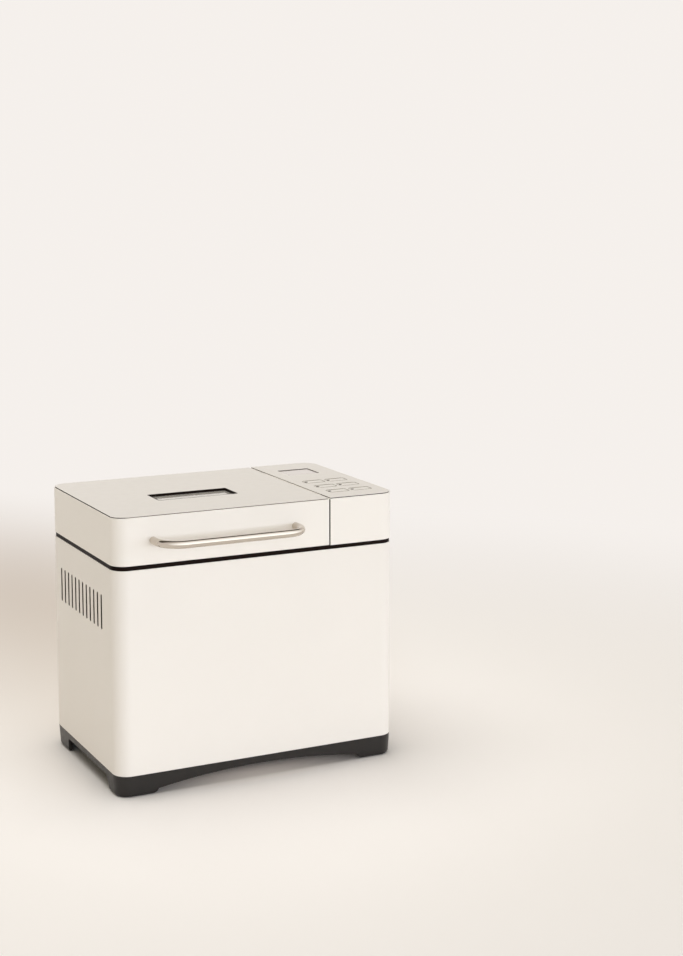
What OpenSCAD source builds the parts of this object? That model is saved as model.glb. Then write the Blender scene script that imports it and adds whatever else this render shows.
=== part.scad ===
// Countertop bread maker: a painted housing on a black base, a hinged lid with a
// window over the baking chamber, a control panel beside it, and a lift-out pan
// with a kneading paddle driven by a belt from a motor under the panel.
// Millimetres, Z up. The origin is on the table, at the middle of the whole
// machine's footprint, handle included. The front faces -Y.

/* [Housing] */
// Width of the housing, left to right
body_w = 350; // [344:1:390]
// Depth of the housing, front to back, without the handle
body_d = 231; // [228:1:260]
// Radius of the two front corners
corner_r_front = 18; // [12:0.5:26]
// Radius of the two rear corners
corner_r_rear = 20; // [12:0.5:26]
// Height of the painted wrap between the base and the dark band
wrap_h = 235; // [230:1:265]
// Thickness of the painted sheet
skin_t = 1.2; // [0.8:0.1:1.6]
// Height of the dark band between the wrap and the lid
band_h = 5; // [4.5:0.5:9]
// How far the dark band lies behind the painted faces
band_inset = 1; // [0.5:0.1:1.1]
// Width of the control panel, right of the lid
panel_w = 86.4; // [84:0.2:100]
// Open seam between the lid and the control panel
split_gap = 1; // [0.8:0.1:2]
// Wall thickness of the moulded lid and panel housings
shell_t = 2; // [1.6:0.1:2.6]
// Thickness of the satin top plates
plate_t = 1.3; // [1:0.1:2]
// Margin between the painted edge and the top plates
plate_inset = 0.7; // [0.4:0.1:1.5]
// How far the control panel stands above the lid
panel_step = 0.5; // [0:0.1:1.5]

/* [Side and rear vents] */
// Slots in each side of the housing
vent_count = 12; // [4:1:13]
// Distance from slot to slot
vent_pitch = 13.15; // [8:0.05:14]
// Width of one slot
vent_w = 3.9; // [2.5:0.1:4]
// Length of one slot
vent_l = 39.8; // [20:0.2:60]
// Distance from the dark band down to the top of the slots
vent_drop = 34.7; // [20:0.1:60]
// Shift of the row of slots towards the rear
vent_shift = 3.3; // [0:0.1:10]

/* [Base] */
// Height of the base tray's outer wall
base_h = 25; // [25:0.5:32]
// Thickness of the base tray's upper wall
base_wall = 2.5; // [2:0.1:3.5]
// Inward taper of the base tray, top to bottom
base_taper = 1.5; // [0.5:0.1:3]
// Rounding of the base tray's lower edge
base_edge = 3.5; // [2:0.1:4]
// Underside of the tray's floor above the table
floor_z = 19.5; // [19:0.1:22]
// Thickness of the tray's floor
floor_t = 2.5; // [2:0.1:3]
// Height of the shallow arch in the front and rear walls
arch_h = 16; // [10:0.5:17]
// Height of the side arches
side_arch_h = 17; // [10:0.5:17]
// Width of a foot, from the side of the housing to the arch
foot_w = 40; // [38:0.5:50]
// Height of the rounded shoulder where a foot meets the arch
foot_shoulder = 6; // [4:0.5:8]
// Length of a front foot along the side
foot_front_l = 35.5; // [34:0.5:50]
// Length of a rear foot along the side
foot_rear_l = 47.5; // [40:0.5:60]
// Radius of a rubber pad
pad_r = 9; // [6:0.5:9]
// Height of a rubber pad
pad_h = 3; // [2:0.1:4]
// How far a pad stands out below the tray
pad_proud = 0.6; // [0.3:0.1:1]

/* [Lid] */
// Height of the lid's painted sides
lid_h = 54.1; // [52:0.1:70]
// Gap between the closed lid and the top frame
lid_gap = 0.4; // [0.3:0.1:1]
// Radius of the lid's rounded lower rear edge, around the hinge axis
hinge_r = 7; // [6:0.1:9]
// Radius of the hinge pins
hinge_pin_r = 2; // [1.5:0.1:2.5]
// Length of a hinge knuckle on the top frame
knuckle_l = 24; // [16:1:34]
// Length of a hinge lug on the lid
lug_l = 8; // [5:0.5:12]
// Distance between the two hinges
hinge_span = 156; // [110:1:170]
// Height of the space under the lid's inner liner
dome_h = 35; // [33:0.5:36]
// Thickness of the sheet-metal liners
liner_t = 1; // [0.6:0.1:1.2]
// Height of the silicone lid seal
seal_h = 2; // [1.6:0.1:2.3]
// Width of the silicone lid seal
seal_w = 5; // [3:0.5:5]

/* [Window] */
// Width of the lid window
window_w = 97; // [70:1:110]
// Depth of the lid window, front to back
window_d = 37.5; // [28:0.5:60]
// Distance from the lid's left side to the window
window_left = 82.5; // [70:0.5:100]
// Distance from the lid's front to the window
window_front = 76.5; // [60:0.5:90]
// Depth of the window glass below the top plate
window_recess = 2.9; // [1.5:0.1:4]
// Thickness of the window glass
glass_t = 3; // [2:0.1:4]
// Width of the bezel's visible edge
bezel_rim = 1.2; // [0.8:0.1:2]

/* [Handle] */
// Distance between the handle's two posts
handle_span = 173.8; // [140:0.2:190]
// Shift of the handle from the middle of the lid, to the right
handle_shift = 0.7; // [-5:0.1:5]
// Distance from the lid's face to the middle of the bar
handle_reach = 36.5; // [32:0.5:50]
// Radius of the handle's tube
handle_r = 4.4; // [4:0.1:6]
// Bend radius at the middle of the tube
handle_bend = 26; // [14:0.5:30]
// Distance from the lid's top edge down to the handle
handle_drop = 27; // [15:0.5:35]
// Radius of the screws that hold the handle
handle_screw_r = 2; // [1.5:0.1:2.5]

/* [Control panel] */
// Width of one button
button_w = 25; // [16:0.5:26]
// Depth of one button, front to back
button_d = 14; // [8:0.5:20]
// Corner radius of a button
button_r = 2; // [1:0.1:4]
// Distance between the two columns of buttons
button_col = 30; // [28.5:0.5:34]
// Distance between the rows of buttons
button_row = 32.5; // [24:0.5:34]
// Distance from the panel's front to the middle of the first row
button_front = 37.3; // [30:0.1:42]
// Gap around each button
button_gap = 0.45; // [0.3:0.05:0.8]
// Travel of a button
button_travel = 0.8; // [0.4:0.1:1.2]
// How far a button stands above the top plate
button_proud = 0.2; // [0:0.1:0.6]
// Width of the display
display_w = 42; // [30:0.5:50]
// Depth of the display, front to back
display_d = 36.5; // [24:0.5:40]
// Distance from the panel's rear to the display
display_rear = 40.5; // [30:0.5:50]
// Depth of the display below the top plate
display_recess = 0.9; // [0.3:0.1:1.2]

/* [Baking chamber] */
// Distance from the left side of the housing to the inside of the chamber
chamber_side = 20.8; // [18.8:0.1:21.8]
// Distance from the front and rear of the housing to the inside of the chamber
chamber_front = 23.5; // [22.5:0.5:26.5]
// Corner radius of the chamber
chamber_r = 24; // [16:0.5:30]
// Height of the spacers under the chamber
spacer_h = 13.4; // [12:0.1:16]
// Radius of the heater rod
heater_r = 3.25; // [2.5:0.05:4]
// Distance from the chamber wall to the middle of the heater rod
heater_wall = 10.5; // [9:0.1:12]
// Height of the heater rod above the chamber floor
heater_z = 32; // [24:0.5:50]
// Bend radius of the heater rod
heater_bend = 26; // [18:0.5:30]
// Distance between the heater's two leads
heater_leads = 30; // [24:0.5:50]

/* [Pan] */
// Room between the pan's rim and the chamber, left and right
pan_side = 16; // [14:0.5:21]
// Room between the pan's rim and the chamber, front and rear
pan_front = 22; // [20:0.5:28]
// How much narrower the pan is at the bottom, on each side
pan_draft = 5; // [2:0.5:8]
// Height of the pan, floor to rim
pan_h = 140; // [125:1:146]
// Wall thickness of the pan
pan_t = 1.6; // [1.2:0.1:2]
// Corner radius of the pan
pan_r = 22; // [16:0.5:30]
// Width of the lip around the rim
lip_w = 3; // [2:0.1:4]
// Height of the lip around the rim
lip_h = 2; // [1.5:0.1:3]
// Radius of the pan's base ring
pan_ring_r = 41.5; // [36:0.5:46]
// Height of the pan above its seat
pan_stand = 17; // [16:0.5:20]
// Height that the pan can rise under the closed lid
pan_lift = 70; // [40:1:72]
// Radius of the bail's wire
bail_r = 2.5; // [2:0.1:3]
// Gap between the pan's lip and the folded bail
bail_clear = 2.5; // [1.5:0.1:4]
// Height of the bail's pivots below the rim
bail_drop = 8; // [7:0.5:12]

/* [Drive] */
// Radius of the drive shaft and of the pan's shaft
shaft_r = 4; // [3:0.1:5]
// Radial clearance of a shaft in its bush
bush_gap = 0.05; // [0.02:0.01:0.1]
// Radius of the large pulley under the belt
pulley_r = 48; // [36:0.5:50]
// Radius of the motor pulley under the belt
motor_pulley_r = 9; // [7:0.5:14]
// Width of the belt
belt_w = 7; // [5:0.5:8]
// Thickness of the belt
belt_t = 1.5; // [1:0.1:2.5]
// Distance from the tray's floor to the chassis plate
drive_space = 22; // [21:0.5:26]
// Thickness of the chassis plate
chassis_t = 1.6; // [1.2:0.1:2.5]
// Distance from the right side of the housing to the motor's axis
motor_right = 51; // [48:0.5:54]
// Width of the motor's square stator
stator_w = 74; // [60:1:78]
// Height of the motor's stator
stator_h = 32; // [20:1:44]

/* [Kneading paddle] */
// Outer radius of the paddle's hub
hub_r = 7.65; // [6.5:0.05:9]
// Height of the paddle's hub
hub_h = 26.7; // [22:0.1:32]
// Distance from the hub's axis to the tip of the fin
fin_l = 56; // [40:0.5:58]
// Height of the fin
fin_h = 42; // [30:0.5:50]
// Thickness of the fin
fin_t = 3; // [2:0.1:4]

/* [Hidden] */
$fn = 72;

// Colours of the pieces
cream = [0.94, 0.92, 0.87];
satin_beige = [0.80, 0.77, 0.71];
black = [0.10, 0.10, 0.10];
dark_rubber = [0.16, 0.16, 0.17];
bright_steel = [0.76, 0.76, 0.75];
dull_steel = [0.60, 0.61, 0.62];
gold_coat = [0.72, 0.55, 0.33];
bronze = [0.66, 0.48, 0.26];
ceramic_white = [0.93, 0.92, 0.88];
board_green = [0.10, 0.33, 0.20];
glass_grey = [0.62, 0.64, 0.66];
display_grey = [0.66, 0.65, 0.72];

// Small fits that several pieces share
cut = 1;             // how far a cutting shape runs past a face
fit = 0.05;          // clearance between fixed round pieces
seat_gap = 0.3;      // clearance where a loose piece rests on its seat
screw_r = 1.5;       // small screws
post_screw_r = 2;    // screws that hold the chassis and the motor

// Heights above the table
floor_top = floor_z + floor_t;
chassis_z = floor_top + drive_space;
chassis_top = chassis_z + chassis_t;
chamber_floor = chassis_top + spacer_h + liner_t;
wrap_top = base_h + wrap_h;
lid_z = wrap_top + band_h;
frame_top = lid_z - lid_gap;
frame_t = 3;
frame_lip = 10;      // how far the top frame reaches down into the wrap
chamber_top = frame_top - frame_t;
lid_top = lid_z + lid_h;
lid_deck = lid_top - shell_t;
panel_top = lid_top + panel_step;
panel_deck = panel_top - shell_t;

// Places across the machine, from the middle of the housing
split_x = body_w / 2 - panel_w;
lid_w = body_w - panel_w - split_gap / 2;
lid_x = (split_x - body_w / 2) / 2;
panel_x = body_w / 2 - panel_w / 2;
chamber_x = lid_x;
chamber_w = 2 * (chamber_x + body_w / 2 - chamber_side);
chamber_d = body_d - 2 * chamber_front;
pan_w = chamber_w - 2 * pan_side;
pan_d = chamber_d - 2 * pan_front;
front_y = -body_d / 2;
rear_y = body_d / 2;
hinge_y = rear_y - hinge_r;
hinge_z = lid_z + hinge_r;
hinge_gap = 0.6;
gland_proud = 1.5;
// The handle reaches further than the gland, so the housing stands behind the origin
housing_y = (handle_reach + handle_r - gland_proud) / 2;

// ---------------------------------------------------------------- shared shapes

// Everything is drawn from the middle of the housing and set behind the origin
module placed() {
    translate([0, housing_y, 0]) children();
}

// A rectangle with round corners, centred
module round_rect(w, d, r) {
    square([w, d - 2 * r], center = true);
    square([w - 2 * r, d], center = true);
    for (sx = [-1, 1], sy = [-1, 1]) {
        translate([sx * (w / 2 - r), sy * (d / 2 - r)]) circle(r);
    }
}

// A standing block with round corners
module round_block(w, d, r, z0, z1) {
    translate([0, 0, z0]) linear_extrude(z1 - z0) round_rect(w, d, r);
}

// The housing's plan, drawn in from its faces
module plan(inset = 0) {
    w = body_w - 2 * inset;
    d = body_d - 2 * inset;
    rf = corner_r_front - inset;
    rr = corner_r_rear - inset;
    translate([-w / 2, -d / 2 + rf]) square([w, d - rf - rr]);
    translate([-w / 2 + rf, -d / 2]) square([w - 2 * rf, d / 2]);
    translate([-w / 2 + rr, 0]) square([w - 2 * rr, d / 2]);
    for (s = [-1, 1]) {
        translate([s * (w / 2 - rf), -d / 2 + rf]) circle(rf);
        translate([s * (w / 2 - rr), d / 2 - rr]) circle(rr);
    }
}

module lid_plan(inset = 0) {
    intersection() {
        plan(inset);
        translate([-body_w, -body_d])
            square([body_w + split_x - split_gap / 2 - inset, 2 * body_d]);
    }
}

module panel_plan(inset = 0) {
    intersection() {
        plan(inset);
        translate([split_x + split_gap / 2 + inset, -body_d]) square([body_w, 2 * body_d]);
    }
}

// Round bars along each direction
module rod_x(x0, x1, y, z, r) {
    translate([x0, y, z]) rotate([0, 90, 0]) cylinder(h = x1 - x0, r = r);
}

module rod_y(y0, y1, x, z, r) {
    translate([x, y1, z]) rotate([90, 0, 0]) cylinder(h = y1 - y0, r = r);
}

module rod_z(z0, z1, x, y, r) {
    translate([x, y, z0]) cylinder(h = z1 - z0, r = r);
}

// A quarter bend lying flat, around (x, y), starting at the angle given
module elbow(x, y, z, bend, r, from) {
    translate([x, y, z]) rotate([0, 0, from])
        rotate_extrude(angle = 90) translate([bend, 0]) circle(r);
}

module ring(r_out, r_in, z0, z1) {
    translate([0, 0, z0]) difference() {
        cylinder(h = z1 - z0, r = r_out);
        translate([0, 0, -cut]) cylinder(h = z1 - z0 + 2 * cut, r = r_in);
    }
}

// A slot with round ends, its length along the second direction
module slot_shape(w, l) {
    square([w, l - w], center = true);
    for (s = [-1, 1]) translate([0, s * (l - w) / 2]) circle(w / 2);
}

// Points on an arc, for outlines
function arc(cx, cy, r, a0, a1, n = 10) =
    [for (i = [0:n]) let (a = a0 + (a1 - a0) * i / n) [cx + r * cos(a), cy + r * sin(a)]];

// ---------------------------------------------------------------- base

pad_x = body_w / 2 - 27;
pad_front_y = front_y + 23.5;
pad_rear_y = rear_y - 23.5;
pad_places = [for (sx = [-1, 1], y = [pad_front_y, pad_rear_y]) [sx * pad_x, y]];
pad_boss_r = pad_r + 3;
post_r = 6;
post_places = [
    for (sx = [-1, 1], sy = [-1, 1]) [sx * (body_w / 2 - 43), sy * (body_d / 2 - 53.5)]
];
screw_head_h = 2;
base_inner = base_taper + base_edge + 1.2;

// The outer form: rounded at its lower edge, tapered, and full size at the top
module base_outer() {
    slab = 0.01;
    hull() {
        for (a = [0:30:90]) {
            translate([0, 0, pad_proud + base_edge * (1 - sin(a))])
                linear_extrude(slab) plan(base_taper + base_edge * (1 - cos(a)), $fn = 40);
        }
        translate([0, 0, base_h - slab]) linear_extrude(slab) plan(0, $fn = 40);
    }
}

// The arch between two feet: a round shoulder at each foot and one shallow arc
function arch_points(half, height, shoulder) =
    let (
        run = shoulder * 1.5,
        r_shoulder = (run * run + shoulder * shoulder) / (2 * shoulder),
        a_shoulder = asin(run / r_shoulder),
        span = half - run,
        rise = height - shoulder,
        r_arch = (span * span + rise * rise) / (2 * rise),
        a_arch = asin(span / r_arch)
    )
    concat(
        [[half, -cut]],
        arc(half, r_shoulder, r_shoulder, 270, 270 - a_shoulder, 6),
        arc(0, height - r_arch, r_arch, 90 - a_arch, 90 + a_arch, 16),
        arc(-half, r_shoulder, r_shoulder, 270 + a_shoulder, 270, 6),
        [[-half, -cut]]
    );

// The side arch has steep ends with round corners and a flat top
function side_arch_points(y0, y1, height, r, slope) =
    concat(
        [[y1, -cut], [y1, pad_proud]],
        arc(y1 - slope - r, height - r, r, 10, 90, 6),
        arc(y0 + slope + r, height - r, r, 90, 170, 6),
        [[y0, pad_proud], [y0, -cut]]
    );

module base_tray() {
    color(black) placed() difference() {
        union() {
            difference() {
                base_outer();
                translate([0, 0, -cut]) linear_extrude(floor_z + cut) plan(base_inner);
                translate([0, 0, floor_top]) linear_extrude(base_h) plan(base_wall);
            }
            for (p = pad_places) rod_z(pad_proud, floor_z + cut, p[0], p[1], pad_boss_r);
            for (p = post_places) rod_z(floor_z + cut, chassis_z, p[0], p[1], post_r);
        }
        translate([0, body_d, 0]) rotate([90, 0, 0]) linear_extrude(2 * body_d)
            polygon(arch_points(body_w / 2 - foot_w, arch_h, foot_shoulder));
        translate([-body_w, 0, 0]) rotate([90, 0, 90]) linear_extrude(2 * body_w)
            polygon(side_arch_points(front_y + foot_front_l, rear_y - foot_rear_l, side_arch_h, 4, 3));
        for (p = pad_places) rod_z(-cut, pad_h, p[0], p[1], pad_r + fit);
        for (p = post_places) rod_z(0, chassis_z + cut, p[0], p[1], post_screw_r + fit);
        // Air slots in the floor, under the motor
        for (i = [-3:3]) translate([body_w / 2 - motor_right, i * 9, floor_z - cut])
            linear_extrude(floor_t + 2 * cut) rotate(90) slot_shape(3.5, 40);
    }
}

module foot_pads() {
    color(dark_rubber) placed() for (p = pad_places) rod_z(0, pad_h, p[0], p[1], pad_r);
}

// The screws that hold the chassis to the tray, and the motor to the chassis
module chassis_screws() {
    color(dull_steel) placed() {
        for (p = post_places) {
            rod_z(floor_z - screw_head_h, floor_z, p[0], p[1], 2 * post_screw_r);
            rod_z(floor_z, chassis_top + 2, p[0], p[1], post_screw_r);
        }
        for (p = motor_places) {
            rod_z(chassis_z - screw_head_h, chassis_z, p[0], p[1], 2 * post_screw_r);
            rod_z(chassis_z, motor_z + 6, p[0], p[1], post_screw_r);
        }
    }
}

// ---------------------------------------------------------------- painted housing

cover_side = 35;                         // from the side of the housing to the rear cover
cover_w = body_w - 2 * cover_side;
cover_low = base_h + 8;
cover_high = wrap_top - frame_lip - 6;
cover_gap = 0.4;
flange_w = 8;                            // overlap of the cover on the wrap's flange
cover_mid = (cover_low + cover_high) / 2;
cover_h = cover_high - cover_low;
cover_screw_head = 2.8;
cover_screws = [
    for (sx = [-1, 1], k = [-1, 0, 1])
        [sx * (cover_w / 2 - flange_w / 2 - 0.5), cover_mid + k * (cover_h / 2 - 18)]
];
gland_x = body_w / 2 - 65;
gland_z = chassis_top + 15;
gland_r = 8;

module side_vents() {
    for (i = [0:vent_count - 1]) {
        translate([-body_w, vent_shift + (i - (vent_count - 1) / 2) * vent_pitch,
                   wrap_top - vent_drop - vent_l / 2])
            rotate([90, 0, 90]) linear_extrude(2 * body_w) slot_shape(vent_w, vent_l);
    }
}

module body_wrap() {
    flange_y = rear_y - skin_t;
    color(cream) placed() difference() {
        union() {
            difference() {
                translate([0, 0, base_h]) linear_extrude(wrap_h) plan(0);
                translate([0, 0, base_h - cut]) linear_extrude(wrap_h + 2 * cut) plan(skin_t);
                translate([-cover_w / 2, flange_y - cut, cover_low]) cube([cover_w, 4 * skin_t + cut, cover_h]);
            }
            // The folded flange that carries the rear cover
            difference() {
                translate([-cover_w / 2 - 4, flange_y - skin_t, cover_low - 4])
                    cube([cover_w + 8, skin_t, cover_h + 8]);
                translate([-cover_w / 2 + flange_w, flange_y - skin_t - cut, cover_low + flange_w])
                    cube([cover_w - 2 * flange_w, skin_t + 2 * cut, cover_h - 2 * flange_w]);
            }
        }
        side_vents();
        for (p = cover_screws) rod_y(flange_y - 4 * skin_t, rear_y, p[0], p[1], screw_r + fit);
    }
}

module rear_cover() {
    color(cream) placed() difference() {
        translate([-cover_w / 2 + cover_gap, rear_y - skin_t, cover_low + cover_gap])
            cube([cover_w - 2 * cover_gap, skin_t, cover_h - 2 * cover_gap]);
        for (p = cover_screws) {
            rod_y(rear_y - 2 * skin_t, rear_y + cut, p[0], p[1], screw_r + fit);
            translate([p[0], rear_y, p[1]]) rotate([90, 0, 0])
                cylinder(h = skin_t - 0.2, r1 = cover_screw_head + fit, r2 = screw_r + fit);
        }
        rod_y(rear_y - 2 * skin_t, rear_y + cut, gland_x, gland_z, gland_r + fit);
        for (i = [-6:7]) translate([lid_x + i * vent_pitch, rear_y + skin_t,
                                    wrap_top - vent_drop - vent_l / 2])
            rotate([90, 0, 0]) linear_extrude(3 * skin_t) slot_shape(vent_w, vent_l);
        for (i = [-3:3]) translate([body_w / 2 - motor_right - 20 + i * 7, rear_y + skin_t,
                                    chassis_top + 75])
            rotate([90, 0, 0]) linear_extrude(3 * skin_t) slot_shape(vent_w - 0.4, vent_l);
    }
}

// The flush screws of the rear cover and the screws of the pan's seat
module small_screws() {
    color(dull_steel) placed() {
        for (p = cover_screws) {
            translate([p[0], rear_y, p[1]]) rotate([90, 0, 0])
                cylinder(h = skin_t - 0.2, r1 = cover_screw_head, r2 = screw_r);
            rod_y(rear_y - 8, rear_y - skin_t + 0.2, p[0], p[1], screw_r);
        }
        for (p = seat_screw_places) {
            rod_z(seat_floor, seat_floor + 1.8, p[0], p[1], 2 * screw_r);
            rod_z(chamber_floor - liner_t - 2.5, seat_floor, p[0], p[1], screw_r);
        }
    }
}

// One bore for each hinge, through the frame's knuckle and the lid's two lugs
module hinge_bores() {
    half = knuckle_l / 2 + hinge_gap + lug_l + cut;
    for (s = [-1, 1]) {
        mid = lid_x + s * hinge_span / 2;
        rod_x(mid - half, mid + half, hinge_y, hinge_z, hinge_pin_r + fit);
    }
}

// The frame under the lid: a dark rim, the chamber's mouth and the hinge knuckles
module top_frame() {
    lip_inset = skin_t + seat_gap;
    rim_t = 2.4;
    color(black) placed() difference() {
        union() {
            translate([0, 0, chamber_top]) linear_extrude(frame_t) plan(band_inset);
            difference() {
                union() {
                    translate([0, 0, wrap_top]) linear_extrude(chamber_top - wrap_top + cut / 2)
                        plan(band_inset);
                    translate([0, 0, wrap_top - frame_lip])
                        linear_extrude(chamber_top - wrap_top + frame_lip) plan(lip_inset);
                }
                translate([0, 0, wrap_top - frame_lip - cut])
                    linear_extrude(chamber_top - wrap_top + frame_lip + cut)
                        plan(lip_inset + rim_t);
            }
            for (s = [-1, 1]) {
                x0 = lid_x + s * hinge_span / 2 - knuckle_l / 2;
                rod_x(x0, x0 + knuckle_l, hinge_y, hinge_z, hinge_r - hinge_gap);
                translate([x0, hinge_y - 3, chamber_top + cut])
                    cube([knuckle_l, 6, hinge_z - chamber_top - cut]);
            }
        }
        translate([chamber_x, 0, 0])
            round_block(chamber_w, chamber_d, chamber_r, chamber_top - cut, frame_top + cut);
        hinge_bores();
        // Slot for the ribbon cable
        translate([ribbon_x, ribbon_y, chamber_top - cut])
            linear_extrude(frame_t + 2 * cut) square([7, ribbon_w + 8], center = true);
    }
}

// ---------------------------------------------------------------- chassis and chamber

bearing_r = 13;
bearing_bore = shaft_r + 3;
bearing_flange_r = 30;
spacer_places = [
    for (sx = [-1, 1], sy = [-1, 1])
        [chamber_x + sx * (chamber_w / 2 - 39), sy * (chamber_d / 2 - 30)]
];
motor_x = body_w / 2 - motor_right;
motor_ear = 31;                          // from the motor's axis to its fixing ears, each way
motor_places = [for (sx = [-1, 1], sy = [-1, 1]) [motor_x + sx * motor_ear, sy * motor_ear]];
motor_mount_h = 6.4;
seat_screw_places = [for (a = [30:120:270]) [chamber_x + 23 * cos(a), 23 * sin(a)]];

module chassis_plate() {
    color(dull_steel) placed() difference() {
        translate([0, 0, chassis_z]) linear_extrude(chassis_t) plan(base_wall + 3);
        rod_z(chassis_z - cut, chassis_top + cut, chamber_x, 0, bearing_r + fit);
        rod_z(chassis_z - cut, chassis_top + cut, motor_x, 0, motor_pulley_r + 4);
        for (p = concat(post_places, motor_places))
            rod_z(chassis_z - cut, chassis_top + cut, p[0], p[1], post_screw_r + fit);
    }
}

module chamber_spacers() {
    color(bright_steel) placed() for (p = spacer_places) translate([p[0], p[1], 0])
        ring(5, 2, chassis_top, chamber_floor - liner_t);
}

heater_w = chamber_w - 2 * heater_wall;
heater_d = chamber_d - 2 * heater_wall;
heater_level = chamber_floor + heater_z;
lead_bend = 8;
lead_out = 8;                            // how far the leads reach past the chamber wall
lead_tab = 6;
sensor_level = chamber_floor + 70;

module chamber_liner() {
    rim = 7;
    color(bright_steel) placed() translate([chamber_x, 0, 0]) difference() {
        union() {
            round_block(chamber_w + 2 * liner_t, chamber_d + 2 * liner_t, chamber_r + liner_t,
                        chamber_floor - liner_t, chamber_top);
            round_block(chamber_w + 2 * rim, chamber_d + 2 * rim, chamber_r + rim,
                        chamber_top - liner_t, chamber_top);
        }
        round_block(chamber_w, chamber_d, chamber_r, chamber_floor, chamber_top + cut);
        rod_z(chamber_floor - 2 * liner_t, chamber_floor + cut, 0, 0, coupling_bore);
        for (p = seat_screw_places)
            rod_z(chamber_floor - 2 * liner_t, chamber_floor + cut, p[0] - chamber_x, p[1],
                  screw_r + fit);
        for (s = [-1, 1]) rod_x(chamber_w / 2 - cut, chamber_w / 2 + liner_t + cut,
                                s * heater_leads / 2, heater_level, heater_r + 0.4);
        rod_y(-chamber_d / 2 - liner_t - cut, -chamber_d / 2 + cut, 0, sensor_level, 3 + fit);
    }
}

// A rod bent into a flat loop, open at the right where its two leads leave the chamber
module heating_element() {
    hw = heater_w / 2;
    hd = heater_d / 2;
    b = heater_bend;
    z = heater_level;
    lead_y = heater_leads / 2;
    color(dull_steel) placed() translate([chamber_x, 0, 0]) {
        for (s = [-1, 1]) rod_x(-hw + b, hw - b, s * hd, z, heater_r);
        rod_y(-hd + b, hd - b, -hw, z, heater_r);
        elbow(hw - b, hd - b, z, b, heater_r, 0);
        elbow(-hw + b, hd - b, z, b, heater_r, 90);
        elbow(-hw + b, -hd + b, z, b, heater_r, 180);
        elbow(hw - b, -hd + b, z, b, heater_r, 270);
        rod_y(lead_y + lead_bend, hd - b, hw, z, heater_r);
        rod_y(-hd + b, -lead_y - lead_bend, hw, z, heater_r);
        elbow(hw + lead_bend, lead_y + lead_bend, z, lead_bend, heater_r, 180);
        elbow(hw + lead_bend, -lead_y - lead_bend, z, lead_bend, heater_r, 90);
        for (s = [-1, 1]) {
            rod_x(hw + lead_bend, chamber_w / 2 + liner_t + lead_out, s * lead_y, z, heater_r);
            translate([chamber_w / 2 + liner_t + lead_out, s * lead_y - 3.15, z - 0.4])
                cube([lead_tab, 6.3, 0.8]);
        }
    }
}

// Folded clips on the chamber wall, with the rod lying in them
module heater_clips() {
    under = heater_level - heater_r - 0.1;
    lip = heater_wall - heater_r;
    color(bright_steel) placed() translate([chamber_x, 0, 0]) {
        for (s = [-1, 1], a = [0, 180]) rotate([0, 0, a]) translate([s * 50 - 5, 0, 0]) {
            translate([0, -chamber_d / 2, under - 1.5]) cube([10, heater_wall + heater_r + 1.6, 1.5]);
            translate([0, -chamber_d / 2 + heater_wall + heater_r + 0.1, under - 1.5]) cube([10, 1.5, 5]);
            translate([0, -chamber_d / 2, under - 1.5]) cube([10, 1.5, 12]);
        }
    }
}

module heater_insulators() {
    x0 = chamber_x + chamber_w / 2 + liner_t;
    color(ceramic_white) placed() for (s = [-1, 1]) difference() {
        rod_x(x0, x0 + lead_out - 3, s * heater_leads / 2, heater_level, 6.5);
        rod_x(x0 - cut, x0 + lead_out, s * heater_leads / 2, heater_level, heater_r + 0.1);
    }
}

// A probe through the front wall of the chamber, clamped by its flange
module temperature_sensor() {
    wall = -chamber_d / 2 - liner_t;
    color(bright_steel) placed() translate([chamber_x, 0, 0]) {
        rod_y(wall, -chamber_d / 2 + 8, 0, sensor_level, 3);
        rod_y(wall - 2, wall, 0, sensor_level, 8);
        rod_y(wall - 9, wall - 2, 0, sensor_level, 4);
    }
}

// A fuse in a clip on the outside of the chamber's right wall
module thermal_fuse() {
    x0 = chamber_x + chamber_w / 2 + liner_t;
    y0 = chamber_d / 2 - 40;
    color(bright_steel) placed() {
        translate([x0, y0, heater_level + 28]) cube([1, 30, 12]);
        rod_y(y0 + 2, y0 + 28, x0 + 4, heater_level + 34, 3);
    }
}

// ---------------------------------------------------------------- drive

coupling_bore = 14;
seat_floor = chamber_floor + 3;
pulley_flange = 1.5;
pulley_h = belt_w + 2 * pulley_flange + 1;
pulley_z = floor_top + 5;
belt_gap = 0.3;
dog_r = 11.5;
dog_w = 8;
dog_bore = dog_w / sqrt(2) + 0.4;        // opening between the teeth of both halves
dog_h = 5;
dog_z = chamber_floor + 1;               // underside of the driving half
dog_disc = 3;

// The cast seat that the pan's base ring drops into
module pan_seat() {
    wall_in = pan_ring_r + 0.9;
    wall_h = 9;
    color(bright_steel) placed() translate([chamber_x, 0, 0]) difference() {
        union() {
            rod_z(chamber_floor, seat_floor, 0, 0, wall_in + 6);
            ring(wall_in + 6, wall_in, seat_floor - cut / 2, seat_floor + wall_h);
        }
        rod_z(chamber_floor - cut, seat_floor + cut, 0, 0, coupling_bore);
        for (p = seat_screw_places)
            rod_z(chamber_floor - cut, seat_floor + cut, p[0] - chamber_x, p[1], screw_r + fit);
    }
}

// The cast housing that joins the chassis to the chamber's floor and holds the bushes
module bearing_housing() {
    top = chamber_floor - liner_t;
    color(bright_steel) placed() translate([chamber_x, 0, 0]) difference() {
        union() {
            rod_z(bearing_low, top, 0, 0, bearing_r);
            rod_z(chassis_top, chassis_top + 3, 0, 0, 22);
            rod_z(top - 3, top, 0, 0, bearing_flange_r);
        }
        rod_z(bearing_low - cut, top + cut, 0, 0, bearing_bore);
        for (p = seat_screw_places)
            rod_z(top - 3 - cut, top + cut, p[0] - chamber_x, p[1], screw_r + fit);
    }
}

bearing_low = pulley_z + pulley_h + 3;

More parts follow.
